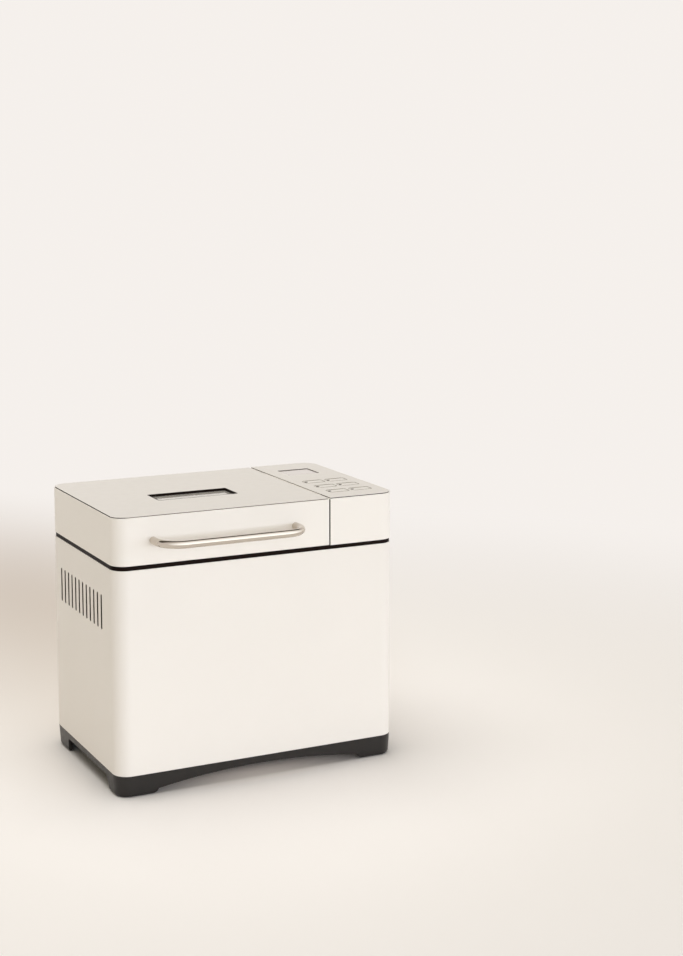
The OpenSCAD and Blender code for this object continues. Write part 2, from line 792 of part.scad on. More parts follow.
module drive_bushes() {
    top = chamber_floor - liner_t;
    color(bronze) placed() translate([chamber_x, 0, 0]) {
        ring(bearing_bore - fit, shaft_r + bush_gap, bearing_low, bearing_low + 7);
        ring(bearing_bore - fit, shaft_r + bush_gap, top - 7, top);
    }
}

module drive_shaft() {
    color(bright_steel) placed() rod_z(floor_top + 1.5, dog_z + dog_disc + 2.5, chamber_x, 0, shaft_r);
}

// One half of the dog coupling: a disc with two teeth, facing up or down
module dog(disc_z, tooth_z) {
    difference() {
        union() {
            rod_z(disc_z, disc_z + dog_disc, 0, 0, dog_r);
            translate([0, 0, tooth_z]) linear_extrude(dog_h) intersection() {
                circle(dog_r);
                square([3 * dog_r, dog_w], center = true);
            }
        }
        rod_z(disc_z - cut, disc_z + dog_disc + cut, 0, 0, shaft_r + fit);
        rod_z(tooth_z - cut / 4, tooth_z + dog_h + cut / 4, 0, 0, dog_bore);
    }
}

module drive_coupling() {
    color(dull_steel) placed() translate([chamber_x, 0, 0])
        difference() {
            dog(dog_z, dog_z + dog_disc);
            rod_z(dog_z - cut, dog_z + dog_disc + cut, 0, 0, shaft_r + fit);
        }
}

// A pulley: a flanged rim, a thin web with round openings and a hub
module pulley(r, hub, holes) {
    flange = 2.5;
    difference() {
        union() {
            rod_z(0, pulley_h, 0, 0, r);
            rod_z(0, pulley_flange, 0, 0, r + flange);
            rod_z(pulley_h - pulley_flange, pulley_h, 0, 0, r + flange);
        }
        if (holes > 0) {
            ring(r - 4, hub, -cut, 3.5);
            ring(r - 4, hub, pulley_h - 3.5, pulley_h + cut);
            for (i = [0:holes - 1]) rotate([0, 0, i * 360 / holes])
                rod_z(-cut, pulley_h + cut, (r - 4 + hub) / 2, 0, (r - 4 - hub) / 2 - 5);
        }
        rod_z(-cut, pulley_h + cut, 0, 0, shaft_r + fit);
    }
}

module large_pulley() {
    color(black) placed() translate([chamber_x, 0, pulley_z]) pulley(pulley_r, 11, 6);
}

// The clip under the pulley and the thrust washer above it
module pulley_clip() {
    color(bright_steel) placed() translate([chamber_x, 0, 0]) {
        ring(shaft_r + 3, shaft_r + fit, pulley_z - 1.2, pulley_z);
        ring(shaft_r + 4, shaft_r + fit, pulley_z + pulley_h, bearing_low - 0.3);
    }
}

module drive_belt() {
    z0 = pulley_z + pulley_flange + 0.5;
    color(dark_rubber) placed() translate([0, 0, z0]) difference() {
        linear_extrude(belt_w) hull() {
            translate([chamber_x, 0]) circle(pulley_r + belt_gap + belt_t);
            translate([motor_x, 0]) circle(motor_pulley_r + belt_gap + belt_t);
        }
        translate([0, 0, -cut]) linear_extrude(belt_w + 2 * cut) hull() {
            translate([chamber_x, 0]) circle(pulley_r + belt_gap);
            translate([motor_x, 0]) circle(motor_pulley_r + belt_gap);
        }
    }
}

motor_z = chassis_top + motor_mount_h;
bell_h = 14;
stator_z = motor_z + bell_h;
motor_top = stator_z + stator_h + bell_h;

module motor_mounts() {
    color(dark_rubber) placed() for (p = motor_places) translate([p[0], p[1], 0])
        ring(post_r, post_screw_r + fit, chassis_top, motor_z);
}

// Two cast end bells, the lower one with four fixing ears
module motor_housing() {
    r = stator_w / 2;
    wall = 3;
    color(bright_steel) placed() translate([motor_x, 0, 0]) {
        difference() {
            union() {
                rod_z(motor_z, stator_z, 0, 0, r);
                for (p = motor_places) rod_z(motor_z, motor_z + 8, p[0] - motor_x, p[1], post_r + 1);
            }
            rod_z(motor_z + wall, stator_z + cut, 0, 0, r - wall);
            rod_z(motor_z - cut, motor_z + wall + cut, 0, 0, shaft_r + bush_gap);
            for (p = motor_places)
                rod_z(motor_z - cut, motor_z + 8 + cut, p[0] - motor_x, p[1], post_screw_r + fit);
        }
        difference() {
            rod_z(stator_z + stator_h, motor_top, 0, 0, r);
            rod_z(stator_z + stator_h - cut, motor_top - wall, 0, 0, r - wall);
            rod_z(motor_top - wall - cut, motor_top + cut, 0, 0, shaft_r + bush_gap);
        }
    }
}

rotor_r = 19;

// The laminated stator with its two rings of windings
module motor_stator() {
    winding_r = stator_w / 2 - 5;
    color(bronze) placed() translate([motor_x, 0, 0]) difference() {
        union() {
            round_block(stator_w, stator_w, 12, stator_z, stator_z + stator_h);
            rod_z(stator_z - 8, stator_z + stator_h + 8, 0, 0, winding_r);
        }
        rod_z(stator_z - 8 - cut, stator_z + stator_h + 8 + cut, 0, 0, rotor_r + 0.5);
    }
}

// The motor's shaft with its rotor
module motor_shaft() {
    color(bright_steel) placed() translate([motor_x, 0, 0]) {
        rod_z(pulley_z - 1.5, motor_top + 12, 0, 0, shaft_r);
        rod_z(stator_z, stator_z + stator_h, 0, 0, rotor_r);
    }
}

module motor_pulley() {
    color(black) placed() translate([motor_x, 0, pulley_z]) pulley(motor_pulley_r, 0, 0);
}

// A cooling fan on the upper end of the motor's shaft
module motor_fan() {
    blades = 8;
    fan_r = 33;
    color(black) placed() translate([motor_x, 0, motor_top + 2]) difference() {
        union() {
            rod_z(0, 9, 0, 0, 9);
            rod_z(0, 1.5, 0, 0, fan_r);
            for (i = [0:blades - 1]) rotate([0, 0, i * 360 / blades])
                translate([8, -0.75, 1]) cube([fan_r - 10, 1.5, 8]);
        }
        rod_z(-cut, 10, 0, 0, shaft_r + fit);
    }
}

// ---------------------------------------------------------------- power electronics

bracket_t = 1.2;
bracket_x = body_w / 2 - 7;              // outer face of the upright sheet
board_t = 1.6;
board_w = 130;
board_low = motor_top + 30;
board_h = 96;
transformer = [34, 44, 38];
relay = [16, 20, 16];
board_x = bracket_x - bracket_t - 6;     // face of the board that the posts touch
board_face = board_x - board_t;
board_posts = [for (sy = [-1, 1], z = [board_low + 6, board_low + board_h - 6]) [sy * 58, z]];

// An upright sheet, folded at its foot onto the chassis plate
module board_bracket() {
    color(dull_steel) placed() {
        translate([bracket_x - bracket_t, -board_w / 2, chassis_top])
            cube([bracket_t, board_w, board_low + board_h - chassis_top]);
        translate([bracket_x - 16, -board_w / 2, chassis_top]) difference() {
            cube([16, board_w, bracket_t]);
            translate([-cut, board_w / 2 - motor_ear - 12, -cut])
                cube([16 - 3, 2 * motor_ear + 24, bracket_t + 2 * cut]);
        }
        for (p = board_posts) rod_x(board_x, bracket_x - bracket_t, p[0], p[1], 3);
    }
}

module power_board() {
    color(board_green) placed()
        translate([board_face, -board_w / 2, board_low]) cube([board_t, board_w, board_h]);
}

// The larger parts soldered to the power board, and the cord's terminal block
module power_parts() {
    color(black) placed() {
        translate([board_face - transformer[0], -board_w / 2 + 7, board_low + 12]) cube(transformer);
        for (i = [0, 1]) translate([board_face - relay[0], -2 + i * 26, board_low + 14]) cube(relay);
        rod_x(board_face - 26, board_face, 10, board_low + 56, 10);
        rod_x(board_face - 18, board_face, 40, board_low + 56, 6);
        translate([board_face - 14, -52, board_low + 66]) cube([14, 40, 10]);
        translate([gland_x - 18, rear_y - 40, chassis_top]) difference() {
            cube([36, 18, 14]);
            for (i = [0:2]) translate([7 + i * 11, 9, 4]) cylinder(h = 11, r = 2.5);
        }
    }
}

// The cord's inlet: a bush clipped into the rear cover
module cable_gland() {
    color(black) placed() translate([gland_x, 0, gland_z]) difference() {
        union() {
            rod_y(rear_y, rear_y + gland_proud, 0, 0, gland_r + 3);
            rod_y(rear_y - 11, rear_y, 0, 0, gland_r);
        }
        rod_y(rear_y - 12, rear_y + gland_proud + cut, 0, 0, 3.6);
    }
}

// ---------------------------------------------------------------- control panel

button_places = [
    for (r = [0:2], c = [-1, 1])
        [panel_x + c * button_col / 2 + 0.4, front_y + button_front + r * button_row]
];
display_x = panel_x - 2.5;
display_y = rear_y - display_rear - display_d / 2;
display_face = panel_top + plate_t - display_recess;
lens_depth = 4;
control_w = panel_w - 7.4;
control_d = body_d - 23;
cap_top = panel_top + plate_t + button_proud;
flange_top = panel_deck - 0.2;
flange_t = 1.2;
stem_low = flange_top - flange_t - 3.6;
control_z = stem_low - button_travel - 5.4;     // top face of the control board
switch_h = stem_low - button_travel - 0.2 - control_z;
control_posts = [for (sx = [-1, 1], sy = [-1, 1]) [panel_x + sx * 36, sy * 98]];
ribbon_x = board_face - 5;
ribbon_y = 38;
ribbon_w = 20;

module panel_housing() {
    color(cream) placed() difference() {
        union() {
            difference() {
                translate([0, 0, frame_top]) linear_extrude(panel_top - frame_top) panel_plan(0);
                translate([0, 0, frame_top - cut]) linear_extrude(panel_deck - frame_top + cut)
                    panel_plan(shell_t);
            }
            for (p = control_posts) rod_z(control_z, panel_deck + cut / 2, p[0], p[1], 3.5);
        }
        for (p = button_places) translate([p[0], p[1], 0])
            round_block(button_w + 2 * button_gap, button_d + 2 * button_gap,
                        button_r + button_gap, panel_deck - cut, panel_top + cut);
        translate([display_x, display_y, 0])
            round_block(display_w + 0.6, display_d + 0.6, 1.3, panel_deck - cut, panel_top + cut);
    }
}

module panel_plate() {
    color(satin_beige) placed() difference() {
        translate([0, 0, panel_top]) linear_extrude(plate_t) panel_plan(plate_inset);
        for (p = button_places) translate([p[0], p[1], 0])
            round_block(button_w + 2 * button_gap, button_d + 2 * button_gap,
                        button_r + button_gap, panel_top - cut, panel_top + plate_t + cut);
        translate([display_x, display_y, 0])
            round_block(display_w, display_d, 1, panel_top - cut, panel_top + plate_t + cut);
    }
}

// The lens lies in the housing's opening, under the edge of the top plate
module display_window() {
    color(display_grey) placed() translate([display_x, display_y, 0]) {
        round_block(display_w + 0.4, display_d + 0.4, 1.2, panel_deck - lens_depth, panel_top);
        round_block(display_w - 0.2, display_d - 0.2, 0.9, panel_top - cut / 2, display_face);
    }
}

// The control board, with the display module standing on it
module control_board() {
    color(board_green) placed() {
        difference() {
            translate([panel_x - control_w / 2, -control_d / 2, control_z - board_t])
                cube([control_w, control_d, board_t]);
            for (p = control_posts) rod_z(control_z - 3, control_z + cut, p[0], p[1], 1.2 + fit);
        }
        translate([display_x - display_w / 2 - 1, display_y - display_d / 2 - 1.25, control_z])
            cube([display_w + 2, display_d + 2.5, panel_deck - lens_depth - control_z]);
    }
}

module button_switches() {
    color(black) placed() for (p = button_places) translate([p[0], p[1], 0]) {
        translate([-3, -3, control_z]) cube([6, 6, switch_h - 1.2]);
        rod_z(control_z + switch_h - 1.2, control_z + switch_h, 0, 0, 1.6);
    }
}

// The flat cable from the control board, through the top frame, to the power board
module ribbon_cable() {
    plug_h = 9;
    upper = control_z - board_t;
    lower = board_low + board_h - 14;
    color(dark_rubber) placed() translate([0, ribbon_y - ribbon_w / 2, 0]) {
        translate([ribbon_x - 0.5, 0, lower + plug_h - cut]) cube([1, ribbon_w, upper - lower - 2 * plug_h + 2 * cut]);
        translate([ribbon_x - 2.5, -1, upper - plug_h]) cube([5, ribbon_w + 2, plug_h]);
        translate([ribbon_x - 2.5, -1, lower]) cube([7.5, ribbon_w + 2, plug_h]);
    }
}

// One button: a cap through the top plate, a flange under the housing and a stem
module button(p) {
    color(satin_beige) placed() translate([p[0], p[1], 0]) {
        round_block(button_w, button_d, button_r, flange_top - cut / 2, cap_top);
        round_block(button_w + 3, button_d + 3, button_r, flange_top - flange_t, flange_top);
        rod_z(stem_low, flange_top - flange_t, 0, 0, 1.8);
    }
}

module button_menu() {
    button(button_places[4]);
}

module button_loaf() {
    button(button_places[5]);
}

module button_crust() {
    button(button_places[2]);
}

module button_timer() {
    button(button_places[3]);
}

module button_start() {
    button(button_places[0]);
}

module button_stop() {
    button(button_places[1]);
}

// ---------------------------------------------------------------- pan

pan_floor = seat_floor + pan_stand;      // underside of the pan
pan_rim = pan_floor + pan_h;
bush_r = 12;
bush_neck_r = 8;
bush_low = dog_z + dog_disc + 0.5 + dog_h + dog_disc + 0.5;
paddle_z = pan_floor + pan_t + 5.9;
ear_out = 4.5;                           // how far a bail ear stands out from the pan
ear_face = pan_w / 2 + ear_out;
bail_x = ear_face + 1.5 + bail_r;
bail_leg = pan_d / 2 + lip_w + bail_clear + bail_r;
bail_gap = 0.4;                          // between the bail's pins and the pan
pivot_z = pan_rim - bail_drop;

// The pan's form between two levels, drawn in by a wall
module pan_form(inset, z0) {
    slab = 0.01;
    hull() {
        translate([0, 0, z0]) linear_extrude(slab)
            round_rect(pan_w - 2 * pan_draft - 2 * inset, pan_d - 2 * pan_draft - 2 * inset,
                       pan_r - inset, $fn = 48);
        translate([0, 0, pan_rim - slab]) linear_extrude(slab)
            round_rect(pan_w - 2 * inset, pan_d - 2 * inset, pan_r - inset, $fn = 48);
    }
}

module bread_pan() {
    color(gold_coat) placed() translate([chamber_x, 0, 0]) difference() {
        union() {
            pan_form(0, pan_floor);
            round_block(pan_w + 2 * lip_w, pan_d + 2 * lip_w, pan_r + lip_w, pan_rim - lip_h, pan_rim);
        }
        difference() {
            pan_form(pan_t, pan_floor + pan_t);
            rod_z(pan_floor - cut, pan_floor + pan_t, 0, 0, pan_w);
        }
        translate([0, 0, pan_rim - 0.02]) linear_extrude(cut)
            round_rect(pan_w - 2 * pan_t, pan_d - 2 * pan_t, pan_r - pan_t);
        rod_z(pan_floor - cut, pan_floor + 2 * pan_t, 0, 0, bush_neck_r + fit);
    }
}

// What is fixed to the pan: its base ring, the shaft's bush with washer, and the two ears
module pan_fittings() {
    neck_top = pan_floor + pan_t + 2.4;
    color(bright_steel) placed() translate([chamber_x, 0, 0]) {
        ring(pan_ring_r, pan_ring_r - 3.5, seat_floor + seat_gap, pan_floor);
        difference() {
            union() {
                rod_z(bush_low, pan_floor, 0, 0, bush_r);
                rod_z(pan_floor - cut, neck_top, 0, 0, bush_neck_r);
            }
            rod_z(bush_low - cut, neck_top + cut, 0, 0, shaft_r + bush_gap);
        }
        ring(bush_r, bush_neck_r + fit, pan_floor + pan_t, neck_top);
        difference() {
            for (s = [-1, 1]) translate([s * (ear_face - 7), 0, pan_rim - lip_h - 15 - seat_gap])
                translate([-7, -12, -14]) cube([14, 24, 29]);
            pan_form(-0.02, pan_floor);
            rod_x(-body_w, body_w, 0, pivot_z, bail_r + 0.1);
        }
    }
}

// A wire handle folded down to the front of the rim
module pan_bail() {
    b = 12;
    small = bail_x - ear_face - 0.2;     // bend from each leg into its pin
    pin = bail_x - small - pan_w / 2 - bail_gap;
    color(bright_steel) placed() translate([chamber_x, 0, 0]) {
        for (s = [-1, 1]) {
            x = s * bail_x;
            rod_x(min(s * (bail_x - small - pin), s * (bail_x - small)),
                  max(s * (bail_x - small - pin), s * (bail_x - small)), 0, pivot_z, bail_r);
            rod_y(-bail_leg + b, -small, x, pivot_z, bail_r);
        }
        elbow(bail_x - small, -small, pivot_z, small, bail_r, 0);
        elbow(-bail_x + small, -small, pivot_z, small, bail_r, 90);
        elbow(bail_x - b, -bail_leg + b, pivot_z, b, bail_r, 270);
        elbow(-bail_x + b, -bail_leg + b, pivot_z, b, bail_r, 180);
        rod_x(-bail_x + b, bail_x - b, -bail_leg, pivot_z, bail_r);
    }
}

flat = 1;                                // depth of the flat on the shaft's upper end
shaft_end = paddle_z + hub_h - 2;

// The pan's shaft: the driven dog below, a clip above the bush, a flat for the paddle
module pan_shaft() {
    low = dog_z + dog_disc + 2.5 + 1;
    tooth = dog_z + dog_disc + 0.5;
    neck_top = pan_floor + pan_t + 2.4;
    color(dull_steel) placed() translate([chamber_x, 0, 0]) {
        difference() {
            rod_z(low, shaft_end, 0, 0, shaft_r);
            translate([shaft_r - flat, -shaft_r, paddle_z - 0.5]) cube([2 * flat, 2 * shaft_r, hub_h]);
        }
        rotate([0, 0, 90]) difference() {
            union() {
                rod_z(tooth + dog_h, tooth + dog_h + dog_disc, 0, 0, dog_r);
                translate([0, 0, tooth]) linear_extrude(dog_h + cut) intersection() {
                    circle(dog_r);
                    square([3 * dog_r, dog_w], center = true);
                }
            }
            rod_z(tooth - cut, tooth + dog_h, 0, 0, dog_bore);
            rod_z(tooth - cut, tooth + 2 * dog_h, 0, 0, shaft_r);
        }
        ring(bush_neck_r - 1.5, shaft_r, neck_top + 0.3, neck_top + 1.3);
    }
}

// A hub with a foot flange and one tall fin with a sloping end
module kneading_paddle() {
    foot_r = hub_r + 2.85;
    color(gold_coat) placed() translate([chamber_x, 0, paddle_z]) difference() {
        union() {
            rod_z(0, hub_h, 0, 0, hub_r);
            rod_z(0, 2.5, 0, 0, foot_r);
            translate([0, fin_t / 2, 0]) rotate([90, 0, 0]) linear_extrude(fin_t) polygon([
                [-hub_r + 2, 0], [-fin_l + 6, 0], [-fin_l, 6], [-fin_l + 14, fin_h - 2],
                [-fin_l + 17, fin_h], [-fin_l + 26, fin_h], [-hub_r - 6, hub_h + 2], [-hub_r + 2, hub_h - 4]
            ]);
        }
        difference() {
            rod_z(-cut, hub_h + cut, 0, 0, shaft_r + bush_gap);
            translate([shaft_r - flat + bush_gap, -2 * shaft_r, -2 * cut])
                cube([2 * shaft_r, 4 * shaft_r, hub_h + 4 * cut]);
        }
    }
}

// ---------------------------------------------------------------- lid

dome_w = chamber_w + 2;
dome_d = chamber_d + 2;
dome_top = frame_top + dome_h;
liner_z = frame_top + seat_gap + seal_h;  // underside of the liner's flange
window_x = -body_w / 2 + window_left + window_w / 2;
window_y = front_y + window_front + window_d / 2;
glass_top = lid_top + plate_t - window_recess;
bezel_flange = 3.5;
handle_z = lid_top - handle_drop;
handle_x = [lid_x + handle_shift - handle_span / 2, lid_x + handle_shift + handle_span / 2];
boss_r = 4.5;
liner_edge = 9;                          // from the lid's faces to the liner screws
liner_screws = concat(
    [for (sx = [-1, 1], y = [-66, 58]) [lid_x + sx * (lid_w / 2 - liner_edge), y]],
    [for (sx = [-1, 1]) [lid_x + sx * 57, front_y + liner_edge + 1]]
);
liner_rear = hinge_y - hinge_r - 1.5;

// The lid's outer or inner form, with its lower rear edge round about the hinge axis
module lid_form(inset, z0, z1) {
    difference() {
        translate([0, 0, z0]) linear_extrude(z1 - z0) lid_plan(inset);
        translate([0, hinge_y, hinge_z]) difference() {
            translate([-body_w, 0, -3 * hinge_r]) cube([2 * body_w, 3 * hinge_r, 3 * hinge_r]);
            rod_x(-body_w - cut, body_w + cut, 0, 0, hinge_r - inset);
        }
    }
}

module lid_shell() {
    color(cream) placed() difference() {
        union() {
            difference() {
                lid_form(0, lid_z, lid_top);
                lid_form(shell_t, lid_z - cut, lid_deck);
            }
            for (s = [-1, 1], side = [-1, 1]) {
                mid = lid_x + s * hinge_span / 2 + side * (knuckle_l / 2 + hinge_gap + lug_l / 2);
                rod_x(mid - lug_l / 2, mid + lug_l / 2, hinge_y, hinge_z, hinge_r - 0.2);
            }
            for (p = liner_screws) rod_z(liner_z + liner_t, lid_deck + cut / 2, p[0], p[1], boss_r);
        }
        for (s = [-1, 1]) {
            x0 = lid_x + s * hinge_span / 2 - knuckle_l / 2 - hinge_gap;
            l = knuckle_l + 2 * hinge_gap;
            rod_x(x0, x0 + l, hinge_y, hinge_z, hinge_r + hinge_gap);
            translate([x0, hinge_y - hinge_r - hinge_gap, lid_z - cut])
                cube([l, 2 * hinge_r + 2, hinge_r + cut]);
        }
        hinge_bores();
        translate([window_x, window_y, 0])
            round_block(window_w + 2 * bezel_rim + 0.4, window_d + 2 * bezel_rim + 0.4, 2.5,
                        lid_deck - cut, lid_top + cut);
        for (x = handle_x)
            rod_y(front_y - cut, front_y + shell_t + cut, x, handle_z, handle_screw_r + fit);
        for (p = liner_screws) rod_z(liner_z, liner_z + 12, p[0], p[1], screw_r + fit);
    }
}

module lid_plate() {
    color(satin_beige) placed() difference() {
        translate([0, 0, lid_top]) linear_extrude(plate_t) lid_plan(plate_inset);
        translate([window_x, window_y, 0])
            round_block(window_w + 2 * bezel_rim + 0.4, window_d + 2 * bezel_rim + 0.4, 2.5,
                        lid_top - cut, lid_top + plate_t + cut);
    }
}

// A frame pushed up from below, with a ledge that carries the glass
module window_bezel() {
    low = glass_top - glass_t - 2;
    color(black) placed() translate([window_x, window_y, 0]) difference() {
        union() {
            round_block(window_w + 2 * bezel_rim, window_d + 2 * bezel_rim, 2.3,
                        lid_deck - cut, lid_top + plate_t);
            round_block(window_w + 2 * bezel_rim + 2 * bezel_flange,
                        window_d + 2 * bezel_rim + 2 * bezel_flange, 3, low, lid_deck);
        }
        round_block(window_w, window_d, 1.2, glass_top - glass_t, lid_top + plate_t + cut);
        round_block(window_w - 6, window_d - 6, 1.2, low - cut, glass_top);
    }
}

module window_glass() {
    color(glass_grey) placed() translate([window_x, window_y, 0])
        round_block(window_w - 0.2, window_d - 0.2, 1.1, glass_top - glass_t, glass_top);
}

inner_w = window_w + 6;
inner_d = window_d + 6;
inner_ledge = 8;

// The inner skin of the lid: a flange, a raised box over the chamber, an opening
module lid_liner() {
    color(bright_steel) placed() difference() {
        union() {
            intersection() {
                translate([0, 0, liner_z]) linear_extrude(liner_t) lid_plan(shell_t + 0.3);
                translate([-body_w, front_y, liner_z - cut])
                    cube([2 * body_w, liner_rear - front_y, liner_t + 2 * cut]);
            }
            translate([lid_x, 0, 0]) round_block(dome_w + 2 * liner_t, dome_d + 2 * liner_t,
                                                 chamber_r + liner_t, liner_z, dome_top + liner_t);
        }
        translate([lid_x, 0, 0])
            round_block(dome_w, dome_d, chamber_r, liner_z - cut, dome_top);
        translate([window_x, window_y, 0])
            round_block(inner_w, inner_d, 4, dome_top - cut, dome_top + liner_t + cut);
        for (p = liner_screws) rod_z(liner_z - cut, liner_z + liner_t + cut, p[0], p[1], screw_r + fit);
    }
}

// The inner glass on the liner, held by a thin frame
module inner_window() {
    z0 = dome_top + liner_t;
    color(glass_grey) placed() translate([window_x, window_y, 0])
        round_block(inner_w + 2 * inner_ledge, inner_d + 2 * inner_ledge, 4, z0, z0 + 3);
}

module lid_seal() {
    margin = 0.8;
    color(dark_rubber) placed() translate([lid_x, 0, 0]) difference() {
        round_block(dome_w + 2 * margin + 2 * seal_w, dome_d + 2 * margin + 2 * seal_w,
                    chamber_r + margin + seal_w, liner_z - seal_h, liner_z);
        round_block(dome_w + 2 * margin, dome_d + 2 * margin, chamber_r + margin,
                    liner_z - seal_h - cut, liner_z + cut);
    }
}

// A bent tube on two posts, with a threaded hole in the end of each post
module lid_handle() {
    bar_y = front_y - handle_reach;
    b = handle_bend;
    color(bright_steel) placed() difference() {
        union() {
            for (x = handle_x) rod_y(bar_y + b, front_y, x, handle_z, handle_r);
            elbow(handle_x[0] + b, bar_y + b, handle_z, b, handle_r, 180);
            elbow(handle_x[1] - b, bar_y + b, handle_z, b, handle_r, 270);
            rod_x(handle_x[0] + b, handle_x[1] - b, bar_y, handle_z, handle_r);
        }
        for (x = handle_x) rod_y(front_y - 9, front_y + cut, x, handle_z, handle_screw_r + fit);
    }
}

// The screws of the handle and of the inner liner
module lid_screws() {
    color(dull_steel) placed() {
        for (x = handle_x) {
            rod_y(front_y + shell_t, front_y + shell_t + 2.4, x, handle_z, 2 * handle_screw_r);
            rod_y(front_y - 8, front_y + shell_t, x, handle_z, handle_screw_r);
        }
        for (p = liner_screws) {
            rod_z(liner_z - 1.2, liner_z, p[0], p[1], 2 * screw_r);
            rod_z(liner_z, liner_z + 10, p[0], p[1], screw_r);
        }
    }
}

module hinge_pins() {
    pin_l = knuckle_l + 2 * hinge_gap + 2 * lug_l;
    color(dull_steel) placed() for (s = [-1, 1]) {
        mid = lid_x + s * hinge_span / 2;
        rod_x(mid - pin_l / 2, mid + pin_l / 2, hinge_y, hinge_z, hinge_pin_r);
    }
}

base_tray();
foot_pads();
chassis_screws();
body_wrap();
rear_cover();
small_screws();
top_frame();
chassis_plate();
chamber_spacers();
chamber_liner();
heating_element();
heater_clips();
heater_insulators();
temperature_sensor();
thermal_fuse();
pan_seat();
bearing_housing();
drive_bushes();
drive_shaft();
drive_coupling();
large_pulley();
pulley_clip();
drive_belt();
motor_mounts();
motor_housing();
motor_stator();
motor_shaft();
motor_pulley();
motor_fan();
power_board();
power_parts();
board_bracket();
cable_gland();
panel_housing();
panel_plate();
display_window();
control_board();
button_switches();
ribbon_cable();
button_menu();
button_loaf();
button_crust();
button_timer();
button_start();
button_stop();
bread_pan();
pan_fittings();
pan_bail();
pan_shaft();
kneading_paddle();
lid_shell();
lid_plate();
window_bezel();
window_glass();
lid_liner();
inner_window();
lid_seal();
lid_handle();
lid_screws();
hinge_pins();
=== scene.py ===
"""The looks of a countertop bread machine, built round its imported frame.

Sizes are in millimetres, measured from the middle of the housing on the table. metres() turns
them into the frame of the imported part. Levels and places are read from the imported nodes.
"""

import logging
import math
from collections.abc import Callable, Sequence
from dataclasses import dataclass
from enum import Enum
from functools import cached_property

import bpy
import numpy as np
from mathutils import Matrix, Vector
from mathutils.geometry import tessellate_polygon


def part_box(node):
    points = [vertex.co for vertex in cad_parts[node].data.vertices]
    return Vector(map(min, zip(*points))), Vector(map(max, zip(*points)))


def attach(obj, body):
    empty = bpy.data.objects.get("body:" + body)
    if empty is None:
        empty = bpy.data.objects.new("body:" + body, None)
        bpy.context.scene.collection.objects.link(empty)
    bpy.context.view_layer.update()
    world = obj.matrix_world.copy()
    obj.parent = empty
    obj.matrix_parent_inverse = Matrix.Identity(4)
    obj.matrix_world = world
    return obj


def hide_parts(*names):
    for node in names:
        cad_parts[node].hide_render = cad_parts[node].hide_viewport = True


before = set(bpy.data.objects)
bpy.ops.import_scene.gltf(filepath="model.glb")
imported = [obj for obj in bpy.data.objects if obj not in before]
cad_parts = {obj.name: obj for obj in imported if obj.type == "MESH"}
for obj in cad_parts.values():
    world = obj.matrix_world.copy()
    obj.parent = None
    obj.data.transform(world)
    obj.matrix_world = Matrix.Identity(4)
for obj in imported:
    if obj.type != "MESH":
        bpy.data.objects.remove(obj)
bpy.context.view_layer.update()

LOG = logging.getLogger("bread_machine")
Colour = tuple[float, float, float]
Point = tuple[float, float, float]

# Least radius of an outline's corner and the distance within which points are one, in millimetres
LEAST_RADIUS = 0.02
WELD = 0.004
# Moves the weld's steps off the round numbers that sizes fall on
WELD_SHIFT = 0.137
# Twice the area under which a triangle has no side to face
THIN = 1e-6
# The four corners of a rectangle round its middle
CORNERS = ((-1, -1), (-1, 1), (1, -1), (1, 1))

# ------------ places


def middle_of_housing() -> np.ndarray:
    """The point on the table under the middle of the painted housing, in metres."""
    low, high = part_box("body_wrap")
    return np.array([(low.x + high.x) / 2, (low.y + high.y) / 2, 0.0])


ORIGIN = middle_of_housing()


def metres(points: np.ndarray) -> np.ndarray:
    """Turns millimetres from the middle of the housing into metres in the part's frame."""
    return np.asarray(points, float) / 1000 + ORIGIN


@dataclass(frozen=True)
class Span:
    """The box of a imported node, in millimetres from the middle of the housing."""

    low: np.ndarray
    high: np.ndarray

    @property
    def mid(self) -> np.ndarray:
        """The middle of the box."""
        return (self.low + self.high) / 2

    @property
    def size(self) -> np.ndarray:
        """The box's width, depth and height."""
        return self.high - self.low

    def plan(self, r: float, grow: float = 0.0, steps: int = 6) -> "Plan":
        """The box from above with the corner radius r, grown by grow from side to side."""
        return Plan.centred(*self.mid[:2], *(self.size[:2] + grow), r, steps)


def span(node: str) -> Span:
    """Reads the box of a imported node."""
    low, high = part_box(node)
    return Span(*((np.array(corner) - ORIGIN) * 1000 for corner in (low, high)))


# ------------ outlines and profiles


def round_angles(steps: int) -> np.ndarray:
    """The angles of a whole turn in even steps, less the last, which is the first again."""
    return np.linspace(0, 2 * np.pi, steps, endpoint=False)


def circle(x: float, y: float, r: float | np.ndarray, a: np.ndarray) -> np.ndarray:
    """Points on a round about (x, y) at the angles a."""
    return np.stack([x + r * np.cos(a), y + r * np.sin(a)], -1)


def arc(cx: float, cy: float, r: float, a0: float, a1: float, n: int = 6) -> np.ndarray:
    """Points on an arc: (cx + r cos a, cy + r sin a), a running evenly from a0 to a1 degrees."""
    return circle(cx, cy, r, np.radians(np.linspace(a0, a1, n + 1)))


def profile(*parts: Sequence) -> np.ndarray:
    """Joins single points and rows of points into one profile."""
    return np.concatenate([np.atleast_2d(np.asarray(part, float)) for part in parts])


def pairs(x: float | Sequence[float], y: float | Sequence[float]) -> np.ndarray:
    """Points (x, y), where one of the two may be a row of numbers."""
    both = np.broadcast_arrays(np.asarray(x, float), np.asarray(y, float))
    return np.stack(both, -1).reshape(-1, 2)


def cross(a: np.ndarray, b: np.ndarray) -> np.ndarray:
    """The cross product of flat vectors, ax by - ay bx."""
    return a[..., 0] * b[..., 1] - a[..., 1] * b[..., 0]


def area(loop: np.ndarray) -> float:
    """Twice the area inside a flat loop, above 0 where it runs anticlockwise."""
    return float(np.sum(cross(loop, np.roll(loop, -1, axis=0))))


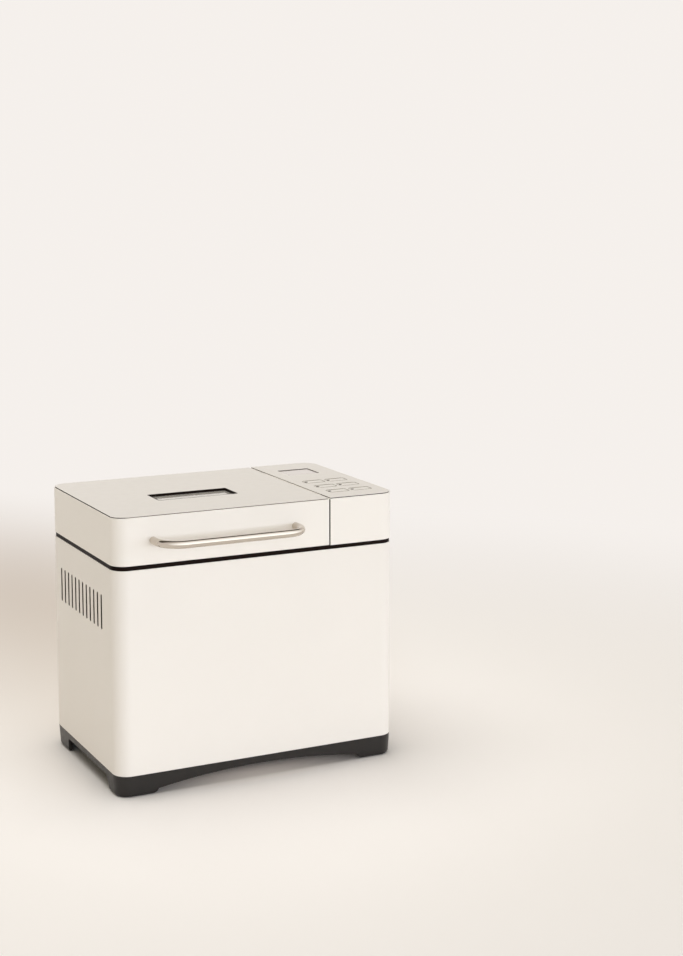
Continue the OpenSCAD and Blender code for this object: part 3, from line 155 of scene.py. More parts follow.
def barrel(bore: float, r: float, length: float, soft: float) -> np.ndarray:
    """The profile of a bored barrel with its outer edges broken by soft."""
    return profile((bore, 0), (r - soft, 0), (r, soft), (r, length - soft), (r - soft, length),
                   (bore, length))


@dataclass(frozen=True)
class Plan:
    """A rectangle seen from above with its own radius at each corner.

    The corners go front left, front right, rear right, rear left. Extra points may lie on the
    straight sides, given along the way round: rising x in front, rising y at the right, falling
    x at the rear and falling y at the left.
    """

    x0: float
    x1: float
    y0: float
    y1: float
    radii: tuple[float, float, float, float]
    steps: int = 10
    front: tuple[float, ...] = ()
    right: tuple[float, ...] = ()
    rear: tuple[float, ...] = ()
    left: tuple[float, ...] = ()

    @classmethod
    def centred(cls, x: float, y: float, w: float, d: float, r: float, steps: int = 6) -> "Plan":
        """A plan with equal corners round a middle point."""
        return cls(x - w / 2, x + w / 2, y - d / 2, y + d / 2, (r,) * 4, steps)

    def at(self, inset: float = 0.0) -> np.ndarray:
        """The outline drawn in by inset, anticlockwise from the front left corner.

        A corner is the arc c + (r - inset)(cos a, sin a), with its middle c kept until the
        radius is used up. A negative inset draws the outline out.

        Args:
            inset: how far the outline lies inside the plan.

        Returns:
            The points, as many for every inset.
        """
        x0, x1, y0, y1 = self.x0 + inset, self.x1 - inset, self.y0 + inset, self.y1 - inset
        r = [max(radius - inset, LEAST_RADIUS) for radius in self.radii]
        return np.concatenate([
            arc(x0 + r[0], y0 + r[0], r[0], 180, 270, self.steps), pairs(self.front, y0),
            arc(x1 - r[1], y0 + r[1], r[1], 270, 360, self.steps), pairs(x1, self.right),
            arc(x1 - r[2], y1 - r[2], r[2], 0, 90, self.steps), pairs(self.rear, y1),
            arc(x0 + r[3], y1 - r[3], r[3], 90, 180, self.steps), pairs(x0, self.left),
        ])

    def rows(self, path: np.ndarray) -> np.ndarray:
        """A surface on the outline: row k is at(path[k, 0]) at the height path[k, 1].

        Args:
            path: pairs of inset and height.

        Returns:
            The points, one row for each pair.
        """
        rings = np.stack([self.at(inset) for inset, _ in path])
        heights = np.broadcast_to(path[:, 1][:, None, None], (*rings.shape[:2], 1))
        return np.concatenate([rings, heights], -1)


def bent_line(corners: Sequence[Point], radii: Sequence[float], steps: int = 10) -> np.ndarray:
    """A line through the corners with each inner corner turned into an arc.

    With d1 and d2 the directions before and after a corner p, f the angle between them and n
    the part of d2 square to d1, the arc is p - r tan(f/2) d1 + r (d1 sin a + n (1 - cos a)).

    Args:
        corners: the line's ends and corners.
        radii: the bend at each inner corner.
        steps: pieces in each arc.

    Returns:
        The points along the line.
    """
    p = np.asarray(corners, float)
    d = np.diff(p, axis=0)
    d /= np.linalg.norm(d, axis=1)[:, None]
    parts = [p[:1]]
    for before, after, corner, r in zip(d[:-1], d[1:], p[1:-1], radii):
        turn = math.acos(float(np.clip(before @ after, -1, 1)))
        n = after - before * (before @ after)
        n /= np.linalg.norm(n)
        a = np.linspace(0, turn, steps + 1)[:, None]
        start = corner - r * math.tan(turn / 2) * before
        parts.append(start + r * (np.sin(a) * before + (1 - np.cos(a)) * n))
    return np.concatenate([*parts, p[-1:]])


# ------------ surfaces


@dataclass(frozen=True)
class Plane:
    """A flat place: a point and two directions that span it, its face towards u x v."""

    origin: Point
    u: Point
    v: Point

    def put(self, flat: np.ndarray, depth: float = 0.0) -> np.ndarray:
        """Sets flat points into space, depth below the face."""
        u, v = np.array(self.u, float), np.array(self.v, float)
        return np.array(self.origin) + flat[:, :1] * u + flat[:, 1:2] * v - depth * np.cross(u, v)


def level(z: float) -> Plane:
    """A level plane that faces up."""
    return Plane((0, 0, z), (1, 0, 0), (0, 1, 0))


class Shell:
    """Gathers surfaces in millimetres and welds them into one mesh."""

    def __init__(self) -> None:
        """Starts with no surface."""
        self.points: list[np.ndarray] = []
        self.faces: list[np.ndarray] = []
        self.marks: list[np.ndarray] = []
        self.uvs: list[np.ndarray] = []
        self.count = 0

    def _take(self, points: np.ndarray, faces: np.ndarray, mark: int,
              uv: np.ndarray | None = None) -> None:
        """Adds points, four-cornered faces and the finish they take.

        Args:
            points: the points.
            faces: four of the points' numbers for each face.
            mark: number of the finish.
            uv: the faces' places on the UV map.
        """
        self.points.append(points)
        self.faces.append(faces + self.count)
        self.marks.append(np.full(len(faces), mark))
        self.uvs.append(uv if uv is not None else np.zeros((len(faces), 4, 2)))
        self.count += len(points)

    def grid(self, rows: np.ndarray, wrap: bool = True, loop: bool = False, mark: int = 0,
             keep: np.ndarray | None = None, lengths: np.ndarray | None = None,
             flip: bool = False) -> None:
        """Adds the surface P[i, j], i along the profile and j round the outline.

        A face joins P[i, j], P[i, j+1], P[i+1, j+1] and P[i+1, j]. With lengths, the UV map is
        (length along the path, share of the way round).

        Args:
            rows: the points, one row for each step of the profile.
            wrap: whether the last column joins the first.
            loop: whether the last row joins the first.
            mark: number of the finish.
            keep: which columns of faces are made.
            lengths: length along the path at each row.
            flip: turns the faces over.
        """
        m, n = rows.shape[:2]
        i, j = np.meshgrid(np.arange(m if loop else m - 1), np.arange(n if wrap else n - 1),
                           indexing="ij")
        if keep is not None:
            chosen = keep[j[0]]
            i, j = i[:, chosen], j[:, chosen]
        i2, j2 = (i + 1) % m, (j + 1) % n
        quads = np.stack([i * n + j, i * n + j2, i2 * n + j2, i2 * n + j], -1).reshape(-1, 4)
        uv = None
        if lengths is not None:
            u = np.stack([lengths[i], lengths[i], lengths[i2], lengths[i2]], -1)
            v = np.stack([j, j + 1, j + 1, j], -1) / n
            uv = np.stack([u, v], -1).reshape(-1, 4, 2)
        if flip:
            quads = quads[:, ::-1]
            uv = uv[:, ::-1] if uv is not None else None
        self._take(rows.reshape(-1, 3), quads, mark, uv)

    def wall(self, plan: Plan, z0: float, z1: float, inset: float = 0.0, mark: int = 0,
             keep: np.ndarray | None = None, flip: bool = False) -> None:
        """An upright wall on a plan from the height z0 to z1, facing out where z1 is the higher."""
        self.grid(plan.rows(np.array([[inset, z0], [inset, z1]])), mark=mark, keep=keep, flip=flip)

    def flat(self, plane: Plane, outer: np.ndarray, holes: Sequence[np.ndarray] = (),
             depth: float = 0.0, up: bool = True, mark: int = 0) -> None:
        """Fills a flat region, the outer loop less its holes, with triangles that face one way.

        Args:
            plane: where it lies.
            outer: the region's edge.
            holes: the edges of its holes.
            depth: how far it lies below the plane's face.
            up: whether it faces as the plane does.
            mark: number of the finish.
        """
        loops = [outer, *holes]
        points = np.concatenate(loops)
        tri = np.array(tessellate_polygon([[(*p, 0.0) for p in loop.tolist()] for loop in loops]))
        a, b, c = (points[tri[:, k]] for k in range(3))
        turn = cross(b - a, c - a)
        tri = np.where(((turn > 0) == up)[:, None], tri, tri[:, ::-1])
        tri = self._turn_thin(tri, np.abs(turn) < THIN, loops, up)
        self._take(plane.put(points, depth), tri[:, [0, 1, 2, 2]], mark)

    @staticmethod
    def _turn_thin(tri: np.ndarray, thin: np.ndarray, loops: Sequence[np.ndarray],
                   up: bool) -> np.ndarray:
        """Turns the triangles of no area so that every edge is used once each way.

        The edge from point i to point j of n has the number i n + j. The region's neighbours
        take the loops' edges one way, and the triangles that have an area take theirs. A thin
        triangle that takes one of these again is turned over.

        Args:
            tri: the triangles.
            thin: which of them have no area.
            loops: the region's edge and the edges of its holes.
            up: whether the region faces up.

        Returns:
            The triangles.
        """
        n = sum(len(loop) for loop in loops)
        taken, low = [], 0
        for k, loop in enumerate(loops):
            here = low + np.arange(len(loop))
            low, after = low + len(loop), np.roll(here, -1)
            backward = ((area(loop) > 0) == (k == 0)) == up
            taken.append(after * n + here if backward else here * n + after)
        held = tri * n + np.roll(tri, -1, axis=1)
        for _ in range(2):
            wrong = thin & np.isin(held, np.concatenate([*taken, held[~thin].ravel()])).any(1)
            tri = np.where(wrong[:, None], tri[:, ::-1], tri)
            held = tri * n + np.roll(tri, -1, axis=1)
            thin = thin & wrong
        return tri

    def pierced(self, plane: Plane, face: np.ndarray, back: np.ndarray, holes: Sequence[Plan],
                thick: float, rim: float, mark: int = 0, wall_mark: int = 0) -> None:
        """A flat sheet with holes: its face, its back and the walls of the holes.

        A hole's edge is broken: the face's loop is the hole grown by rim, and the wall starts
        rim deeper at the hole's own size.

        Args:
            plane: the sheet's face.
            face: edge of the face.
            back: edge of the back.
            holes: plans of the holes.
            thick: thickness of the sheet.
            rim: size of the broken edge.
            mark: number of the sheet's finish.
            wall_mark: number of the finish of the holes' walls.
        """
        self.flat(plane, face, [hole.at(-rim) for hole in holes], mark=mark)
        self.flat(plane, back, [hole.at() for hole in holes], thick, False, mark)
        for hole in holes:
            self.grid(np.stack([plane.put(hole.at(-rim)), plane.put(hole.at(), rim),
                                plane.put(hole.at(), thick)]), mark=wall_mark)

    def block(self, plan: Plan, z0: float, z1: float, top: float, bottom: float = 0.2) -> None:
        """A standing block with rounded upper and lower edges.

        Args:
            plan: its plan.
            z0: its lower side.
            z1: its upper side.
            top: radius of the upper edge.
            bottom: radius of the lower edge.
        """
        face = 1.4 * top + 0.2
        self.grid(plan.rows(profile(
            arc(bottom, z0 + bottom, bottom, 270, 180, 3), (0, z0 + 1.5 * bottom),
            (0, z1 - 1.3 * top), arc(top, z1 - top, top, 180, 90, 5), (face, z1))))
        self.flat(level(z1), plan.at(face))
        self.flat(level(z0), plan.at(bottom), up=False)

    def turned(self, path: np.ndarray, base: Point, axis: str = "z", steps: int = 32,
               mark: int = 0, loop: bool = False) -> None:
        """A turned form: P(k, a) = (r_k cos a, r_k sin a, h_k), its axis along x, y or z.

        Args:
            path: pairs of radius and height along the axis, the height rising on the outside.
            base: the point that height 0 stands for.
            axis: the direction of the axis.
            steps: pieces in a turn.
            mark: number of the finish.
            loop: whether the profile closes on itself, as for a ring.
        """
        a = round_angles(steps)
        r, h = path[:, :1], path[:, 1:]
        rows = np.stack([r * np.cos(a), r * np.sin(a), h + 0 * a], -1)
        order = {"z": [0, 1, 2], "x": [2, 0, 1], "y": [1, 2, 0]}[axis]
        self.grid(rows[..., order] + np.array(base, float), mark=mark, loop=loop)

    def tube(self, line: np.ndarray, r: float, steps: int, blunt: float) -> None:
        """A round tube along a level line: P(i, a) = c_i + r_i (n_i cos a + z sin a), n = z x t.

        Args:
            line: the middle line.
            r: the tube's radius.
            steps: pieces round the tube.
            blunt: rounding of its closed ends.
        """
        t = np.gradient(line, axis=0)
        t /= np.linalg.norm(t, axis=1)[:, None]
        length = np.concatenate([[0], np.cumsum(np.linalg.norm(np.diff(line, axis=0), axis=1))])
        k = np.array([[0, 0], [0, r - blunt], [blunt * 0.3, r - blunt * 0.3], [blunt, r]])
        stops = np.concatenate([k[:, 0], length[1:-1], length[-1] - k[::-1, 0]])
        radius = np.concatenate([k[:, 1], np.full(len(length) - 2, r), k[::-1, 1]])[:, None, None]
        c = np.stack([np.interp(stops, length, line[:, axis]) for axis in range(3)], -1)
        t = np.stack([np.interp(stops, length, t[:, axis]) for axis in range(3)], -1)
        n = np.cross([0, 0, 1.0], t)
        n /= np.linalg.norm(n, axis=1)[:, None]
        a = round_angles(steps)[None, :, None]
        rows = c[:, None] + radius * (n[:, None] * np.cos(a) + np.array([0, 0, 1.0]) * np.sin(a))
        self.grid(rows, lengths=stops / 1000)

    def paint(self, chosen: Callable[[np.ndarray], np.ndarray], mark: int) -> None:
        """Gives some of the faces another finish.

        Args:
            chosen: says of each face's middle whether the face is one of them.
            mark: number of the finish.
        """
        points = np.concatenate(self.points)
        for k, faces in enumerate(self.faces):
            self.marks[k] = np.where(chosen(points[faces].mean(1)), mark, self.marks[k])

    def mesh(self, name: str, crease: float) -> bpy.types.Mesh:
        """Welds the points that fall together and makes the mesh.

        Faces that a weld has left with three corners become triangles, and those with fewer go.

        Args:
            name: name of the mesh.
            crease: angle in degrees past which an edge stays sharp.

        Returns:
            The mesh, in metres in the part's frame.
        """
        points, faces = np.concatenate(self.points), np.concatenate(self.faces)
        marks, uvs = np.concatenate(self.marks), np.concatenate(self.uvs)
        cells = np.round(points / WELD + WELD_SHIFT).astype(np.int64)
        _, first, same = np.unique(cells, axis=0, return_index=True, return_inverse=True)
        points, faces = points[first], same.reshape(-1)[faces]
        kept = faces != np.roll(faces, -1, axis=1)
        corners = kept.sum(1)
        crossed = (faces[:, 0] == faces[:, 2]) | (faces[:, 1] == faces[:, 3])
        four = (corners == 4) & ~crossed
        three = corners == 3
        polygons = faces[four].tolist() + faces[three][kept[three]].reshape(-1, 3).tolist()
        numbers = np.concatenate([marks[four], marks[three]]).astype(np.int32)
        places = np.concatenate([uvs[four].ravel(), uvs[three][kept[three]].ravel()])
        mesh = bpy.data.meshes.new(name)
        mesh.from_pydata(metres(points), [], polygons)
        mesh.polygons.foreach_set("material_index", numbers)
        mesh.polygons.foreach_set("use_smooth", np.ones(len(polygons), bool))
        mesh.uv_layers.new(name="length").data.foreach_set("uv", places)
        mesh.update()
        self.smooth(mesh, math.cos(math.radians(crease)))
        return mesh

    @staticmethod
    def smooth(mesh: bpy.types.Mesh, least: float) -> None:
        """Gives each corner the mean normal, by area, of its point's faces that turn little.

        Faces count together when the cosine between them is over least. Large flat faces
        outweigh the narrow ones of a rounded edge, so they stay flat.

        Args:
            mesh: the mesh.
            least: the least cosine.
        """
        points = np.empty(len(mesh.loops), np.int32)
        sizes = np.empty(len(mesh.polygons), np.int32)
        facing, spread = np.empty(3 * len(sizes)), np.empty(len(sizes))
        mesh.loops.foreach_get("vertex_index", points)
        mesh.polygons.foreach_get("loop_total", sizes)
        mesh.polygons.foreach_get("normal", facing)
        mesh.polygons.foreach_get("area", spread)
        facing, spread = facing.reshape(-1, 3).repeat(sizes, axis=0), spread.repeat(sizes)
        order = np.argsort(points, kind="stable")
        where, face, weight = points[order], facing[order], spread[order]
        total = face * weight[:, None]
        for step in range(1, int(np.bincount(points).max())):
            a, b = np.arange(len(where) - step), np.arange(step, len(where))
            near = (where[a] == where[b]) & ((face[a] * face[b]).sum(1) > least)
            a, b = a[near], b[near]
            np.add.at(total, a, face[b] * weight[b, None])
            np.add.at(total, b, face[a] * weight[a, None])
        length = np.linalg.norm(total, axis=1)[:, None]
        normals = np.empty_like(facing)
        normals[order] = np.where(length > 0, total / np.maximum(length, 1e-20), face)
        mesh.normals_split_custom_set(normals)


# ------------ finishes


class Along(Enum):
    """Which way the fine lines of a finish run, as the share kept of each direction."""

    NONE = (1.0, 1.0, 1.0)
    X = (0.015, 1.0, 1.0)
    Z = (1.0, 1.0, 0.015)
    TUBE = (0.04, 0.05, 1.0)


Tree, Node = bpy.types.NodeTree, bpy.types.Node
Link = tuple[Node, str | int, Node, str | int]
Wiring = Callable[[Tree, Node, Node], None]


def add_nodes(tree: Tree, *kinds: str) -> list[Node]:
    """Adds a shader node of each kind, named without the prefix that they share."""
    return [tree.nodes.new(f"ShaderNode{kind}") for kind in kinds]


def link(tree: Tree, *links: Link) -> None:
    """Joins nodes, each time a node's output to a node's input."""
    for giver, output, taker, socket in links:
        tree.links.new(giver.outputs[output], taker.inputs[socket])


def maths(tree: Tree, operation: str, kind: str = "Math") -> Node:
    """Adds a node for one operation, on numbers or with the kind VectorMath on vectors.

    Args:
        tree: takes the node.
        operation: what it works out.
        kind: Math or VectorMath.

    Returns:
        The node.
    """
    node = tree.nodes.new(f"ShaderNode{kind}")
    node.operation = operation
    return node


def colour_mix(tree: Tree, first: Colour, second: Colour) -> Node:
    """Adds a mix of two colours.

    Args:
        tree: takes the node.
        first: the colour at factor 0.
        second: the colour at factor 1.

    Returns:
        The node.
    """
    mix = tree.nodes.new("ShaderNodeMix")
    mix.data_type = "RGBA"
    mix.inputs["A"].default_value, mix.inputs["B"].default_value = (*first, 1), (*second, 1)
    return mix


def smooth_step(tree: Tree, low: float, high: float, start: float = 0.0,
                end: float = 1.0) -> Node:
    """Adds a smooth change: start up to low, end from high on, s^2 (3 - 2 s) of the way between.

    Args:
        tree: takes the node.
        low: where the change begins.
        high: where it ends.
        start: the value before it.
        end: the value after it.

    Returns:
        The node.
    """
    step = tree.nodes.new("ShaderNodeMapRange")
    step.interpolation_type = "SMOOTHSTEP"
    step.inputs["From Min"].default_value, step.inputs["From Max"].default_value = low, high
    step.inputs["To Min"].default_value, step.inputs["To Max"].default_value = start, end
    return step


def node_group(name: str, inputs: dict[str, tuple[str, object]], outputs: dict[str, str],
               wire: Wiring) -> Tree:
    """Makes a shader node group once and returns it after that.

    Args:
        name: name of the group.
        inputs: kind and first value of each input.
        outputs: kind of each output.
        wire: draws the nodes between the group's input and output.

    Returns:
        The group.
    """
    found = bpy.data.node_groups.get(name)
    if found:
        return found
    tree = bpy.data.node_groups.new(name, "ShaderNodeTree")
    for label, (kind, value) in inputs.items():
        socket = tree.interface.new_socket(label, in_out="INPUT", socket_type=f"NodeSocket{kind}")
        if value is not None:
            socket.default_value = value
    for label, kind in outputs.items():
        tree.interface.new_socket(label, in_out="OUTPUT", socket_type=f"NodeSocket{kind}")
    wire(tree, tree.nodes.new("NodeGroupInput"), tree.nodes.new("NodeGroupOutput"))
    return tree


def clouded() -> Tree:
    """A colour that drifts softly towards a tint: mix(colour, tint, noise(place * density)).

    Returns:
        The group.
    """

    def wire(tree: Tree, given: Node, out: Node) -> None:
        """Draws the noise and the mix.

        Args:
            tree: the group.
            given: its input.
            out: its output.
        """
        noise, = add_nodes(tree, "TexNoise")
        mix = colour_mix(tree, (1, 1, 1), (1, 1, 1))
        noise.inputs["Detail"].default_value = 3.0
        link(tree, (given, "Place", noise, "Vector"), (given, "Density", noise, "Scale"),
             (noise, "Fac", mix, "Factor"), (given, "Colour", mix, "A"),
             (given, "Tint", mix, "B"), (mix, "Result", out, "Colour"))

    white = ("Color", (1, 1, 1, 1))
    return node_group("clouded_colour", {
        "Place": ("Vector", None), "Colour": white, "Tint": white, "Density": ("Float", 9.0),
    }, {"Colour": "Color"}, wire)


def fine_grain() -> Tree:
    """The grain of a surface: height = noise(place * along * density), gloss from a wider noise.

    Returns:
        The group.
    """

    def wire(tree: Tree, given: Node, out: Node) -> None:
        """Draws the fine noise for the height and the wide one for the gloss.

        Args:
            tree: the group.
            given: its input.
            out: its output.
        """
        fine, wide, remap = add_nodes(tree, "TexNoise", "TexNoise", "MapRange")
        stretch, share = maths(tree, "MULTIPLY", "VectorMath"), maths(tree, "MULTIPLY")
        share.inputs[1].default_value = 0.05
        fine.inputs["Detail"].default_value, wide.inputs["Detail"].default_value = 2.0, 3.0
        remap.inputs["From Min"].default_value, remap.inputs["From Max"].default_value = 0.3, 0.7
        link(tree, (given, "Place", stretch, 0), (given, "Along", stretch, 1),
             (stretch, 0, fine, "Vector"), (stretch, 0, wide, "Vector"),
             (given, "Density", fine, "Scale"), (given, "Density", share, 0),
             (share, 0, wide, "Scale"), (wide, "Fac", remap, "Value"),
             (given, "Smooth", remap, "To Min"), (given, "Rough", remap, "To Max"),
             (fine, "Fac", out, "Height"), (remap, "Result", out, "Roughness"))

    return node_group("fine_grain", {
        "Place": ("Vector", None), "Along": ("Vector", (1, 1, 1)), "Density": ("Float", 900.0),
        "Smooth": ("Float", 0.3), "Rough": ("Float", 0.4),
    }, {"Height": "Float", "Roughness": "Float"}, wire)


@dataclass(frozen=True)
class Finish:
    """One finish: the record's slot that it stands for, its colours, gloss and grain.

    Its lengths are in millimetres.
    """

    name: str
    slot: str
    colour: Colour
    tint: Colour
    gloss: tuple[float, float]
    grain: float
    bump: float
    along: Along = Along.NONE
    patch: float = 80.0
    metallic: float = 0.0
    transmission: float = 0.0
    specular: float = 0.5
    coat: float = 0.0

    def material(self) -> bpy.types.Material:
        """Makes the material once: clouded colour, grain for the gloss and the bump.

        Returns:
            The material.
        """
        name = f"{self.name}_finish"
        found = bpy.data.materials.get(name)
        if found:
            return found
        made = bpy.data.materials.new(name)
        made.use_nodes = True
        tree = made.node_tree
        shader = tree.nodes["Principled BSDF"]
        along_tube = self.along is Along.TUBE
        place, cloud, grain, bump = add_nodes(
            tree, "UVMap" if along_tube else "TexCoord", "Group", "Group", "Bump")
        where = "UV" if along_tube else "Object"
        cloud.node_tree, grain.node_tree = clouded(), fine_grain()
        bump.inputs["Distance"].default_value = self.bump / 1000
        for node, values in (
                (cloud, {"Colour": (*self.colour, 1), "Tint": (*self.tint, 1),
                         "Density": 1000 / self.patch}),
                (grain, {"Along": self.along.value, "Density": 1000 / self.grain,
                         "Smooth": self.gloss[0], "Rough": self.gloss[1]}),
                (shader, {"Metallic": self.metallic, "Transmission Weight": self.transmission,
                          "Specular IOR Level": self.specular, "Coat Weight": self.coat})):
            for label, value in values.items():
                node.inputs[label].default_value = value
        link(tree, (place, where, cloud, "Place"), (place, where, grain, "Place"),
             (cloud, "Colour", shader, "Base Color"), (grain, "Roughness", shader, "Roughness"),
             (grain, "Height", bump, "Height"), (bump, "Normal", shader, "Normal"))
        made.diffuse_color = (*self.colour, 1)
        return made


CREAM_PAINT = Finish("cream_paint", "cream_paint", (0.925, 0.880, 0.820), (0.908, 0.862, 0.802),
                     gloss=(0.34, 0.44), grain=1.6, bump=0.006)
CREAM_MOULDING = Finish("cream_moulding", "cream_shell", (0.952, 0.906, 0.840),
                        (0.939, 0.891, 0.824), gloss=(0.30, 0.40), grain=1.2, bump=0.005)
SATIN_PLATE = Finish("satin_plate", "satin_plate", (0.675, 0.645, 0.615), (0.660, 0.630, 0.600),
                     gloss=(0.38, 0.48), grain=0.5, bump=0.004, patch=60)
KEY_CAP = Finish("key_cap", "satin_plate", (0.70, 0.672, 0.64), (0.685, 0.658, 0.625),
                 gloss=(0.36, 0.46), grain=0.5, bump=0.004, patch=30)
# Painted shade: a near-black colour put on slot and hole walls, seams and dots where shade falls
PAINTED_SHADE = Finish("painted_shade", "black_plastic", (0.038, 0.024, 0.016), (0.030, 0.019, 0.013),
                   gloss=(0.5, 0.6), grain=0.6, bump=0.01, specular=0.08)
# A softer painted shade, for the front seam of the lid plate and the rings round the keys
SHADED_SEAM = Finish("shaded_seam", "satin_plate", (0.235, 0.190, 0.150), (0.205, 0.165, 0.130),
                     gloss=(0.5, 0.6), grain=0.6, bump=0.01, specular=0.1)
BLACK_MOULDING = Finish("black_moulding", "black_plastic", (0.0115, 0.0095, 0.0085),
                        (0.016, 0.013, 0.011), gloss=(0.32, 0.42), grain=0.45, bump=0.012, patch=50,
                        specular=0.42)
BLACK_FRAME = Finish("black_frame", "black_plastic", (0.0085, 0.0042, 0.0028),
                     (0.011, 0.0055, 0.0038), gloss=(0.38, 0.48), grain=0.45, bump=0.012, patch=50,
                     specular=0.05)
DARK_RUBBER = Finish("dark_rubber", "soft_rubber", (0.030, 0.030, 0.032), (0.045, 0.045, 0.046),
                     gloss=(0.7, 0.85), grain=0.8, bump=0.03, patch=12)
GREY_SILICONE = Finish("grey_silicone", "silicone", (0.40, 0.39, 0.38), (0.36, 0.35, 0.34),
                       gloss=(0.5, 0.65), grain=0.8, bump=0.01, patch=25)
HANDLE_STEEL = Finish("handle_steel", "handle_steel", (0.62, 0.56, 0.49), (0.58, 0.52, 0.455),
                      gloss=(0.05, 0.10), grain=0.25, bump=0.0004, along=Along.TUBE, patch=30,
                      metallic=1.0)
WIRE_STEEL = Finish("wire_steel", "handle_steel", (0.70, 0.69, 0.67), (0.66, 0.65, 0.63),
                    gloss=(0.2, 0.28), grain=0.25, bump=0.0008, along=Along.TUBE, patch=30,
                    metallic=1.0)
LINER_STEEL = Finish("liner_steel", "liner_steel", (0.72, 0.715, 0.70), (0.66, 0.65, 0.63),
                     gloss=(0.28, 0.42), grain=0.35, bump=0.002, along=Along.X, patch=60,
                     metallic=1.0)
SHEET_STEEL = Finish("sheet_steel", "sheet_steel", (0.60, 0.61, 0.62), (0.52, 0.53, 0.55),
                     gloss=(0.30, 0.46), grain=3.0, bump=0.004, patch=9, metallic=1.0)
SCREW_STEEL = Finish("screw_steel", "screw_steel", (0.56, 0.56, 0.57), (0.48, 0.48, 0.49),
                     gloss=(0.25, 0.4), grain=0.3, bump=0.003, patch=5, metallic=1.0)
HEATER_SHEATH = Finish("heater_sheath", "sheet_steel", (0.17, 0.155, 0.145), (0.24, 0.20, 0.17),
                       gloss=(0.42, 0.58), grain=0.5, bump=0.006, along=Along.TUBE, patch=25,
                       metallic=0.8)
CAST_ALLOY = Finish("cast_alloy", "cast_alloy", (0.56, 0.56, 0.56), (0.48, 0.48, 0.48),
                    gloss=(0.42, 0.60), grain=0.7, bump=0.03, patch=14, metallic=1.0)
GOLD_COAT = Finish("gold_coat", "gold_coat", (0.62, 0.42, 0.215), (0.57, 0.38, 0.19),
                   gloss=(0.34, 0.46), grain=0.35, bump=0.006, patch=35, metallic=0.75)
BUSH_BRONZE = Finish("bush_bronze", "bush_bronze", (0.60, 0.42, 0.23), (0.45, 0.30, 0.16),
                     gloss=(0.35, 0.5), grain=0.4, bump=0.01, patch=6, metallic=1.0)
WINDING_COPPER = Finish("winding_copper", "winding_copper", (0.42, 0.20, 0.10), (0.30, 0.15, 0.08),
                        gloss=(0.35, 0.5), grain=1.2, bump=0.12, along=Along.Z, patch=10,
                        metallic=0.6)
WHITE_CERAMIC = Finish("white_ceramic", "white_ceramic", (0.86, 0.84, 0.79), (0.80, 0.77, 0.71),
                       gloss=(0.5, 0.7), grain=0.5, bump=0.02, patch=6)
BOARD_GREEN = Finish("board_green", "board_green", (0.045, 0.20, 0.10), (0.03, 0.14, 0.07),
                     gloss=(0.3, 0.42), grain=1.5, bump=0.03, patch=7)
WINDOW_GLASS = Finish("window_glass", "window_glass", (0.83, 0.79, 0.74), (0.80, 0.76, 0.71),
                      gloss=(0.01, 0.04), grain=4.0, bump=0.0, patch=40, transmission=0.55,
                      coat=0.3)
DISPLAY_LENS = Finish("display_lens", "display_lens", (0.575, 0.525, 0.50), (0.55, 0.50, 0.477),
                      gloss=(0.10, 0.18), grain=2.0, bump=0.0005, patch=40, coat=0.4)

CAD_FINISHES: dict[Finish, tuple[str, ...]] = {
    SCREW_STEEL: ("chassis_screws", "small_screws", "chamber_spacers", "temperature_sensor",
                  "drive_shaft", "pulley_clip", "motor_shaft", "pan_shaft", "lid_screws",
                  "hinge_pins"),
    SHEET_STEEL: ("chassis_plate", "thermal_fuse", "board_bracket"),
    LINER_STEEL: ("heater_clips",),
    CAST_ALLOY: ("pan_seat", "bearing_housing", "drive_coupling", "motor_housing",
                 "pan_fittings"),
    BUSH_BRONZE: ("drive_bushes",),
    WINDING_COPPER: ("motor_stator",),
    WHITE_CERAMIC: ("heater_insulators",),
    DARK_RUBBER: ("drive_belt", "motor_mounts", "ribbon_cable"),
    BLACK_MOULDING: ("large_pulley", "motor_pulley", "motor_fan", "power_parts",
                     "button_switches"),
    BOARD_GREEN: ("power_board", "control_board"),
}


def set_out(name: str, data: bpy.types.ID) -> bpy.types.Object:
    """Puts a mesh, a lamp or a camera into the scene as an object.

    Args:
        name: the object's name.
        data: what it holds.

    Returns:
        The object.
    """
    made = bpy.data.objects.new(name, data)
    bpy.context.scene.collection.objects.link(made)
    return made


def add_piece(name: str, shell: Shell, finishes: Sequence[Finish], body: str, *nodes: str,
              crease: float = 32.0) -> bpy.types.Object:
    """Makes one piece of the machine, dresses it and sets it on its body.

    Args:
        name: the piece's name.
        shell: its surfaces.
        finishes: its finishes, by number.
        body: the body that it rides on.
        nodes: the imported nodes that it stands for.
        crease: angle in degrees past which an edge stays sharp.

    Returns:
        The piece.
    """
    piece = set_out(name, shell.mesh(name, crease))
    for finish in finishes:
        piece.data.materials.append(finish.material())
    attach(piece, body)
    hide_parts(*nodes)
    LOG.info("%s: %d faces on %s", name, len(piece.data.polygons), body)
    return piece


# ------------ housing


@dataclass
class Housing:
    """The plan that wrap, band, lid, panel and base share."""

    front_r: float = 18.0
    rear_r: float = 20.0
    sheet: float = 1.2

    @cached_property
    def box(self) -> Span:
        """The wrap's box."""
        return span("body_wrap")

    def plan(self, steps: int = 14, **sides: tuple[float, ...]) -> Plan:
        """The housing's plan, with extra points on its straight sides."""
        low, high, radii = self.box.low, self.box.high, (self.front_r,) * 2 + (self.rear_r,) * 2
        return Plan(low[0], high[0], low[1], high[1], radii, steps, **sides)


@dataclass(frozen=True)
class Hinge:
    """The barrels on the hinge pins: a knuckle on the frame between two lugs on the lid."""

    apart: float = 156.0
    bore: float = 2.05
    knuckle: float = 24.0
    knuckle_r: float = 6.4
    lug: float = 8.0
    lug_r: float = 6.8
    gap: float = 0.6

    def middles(self) -> list[float]:
        """The middles of the left and the right knuckle along x."""
        return [span("chamber_liner").mid[0] + side * self.apart / 2 for side in (-1, 1)]


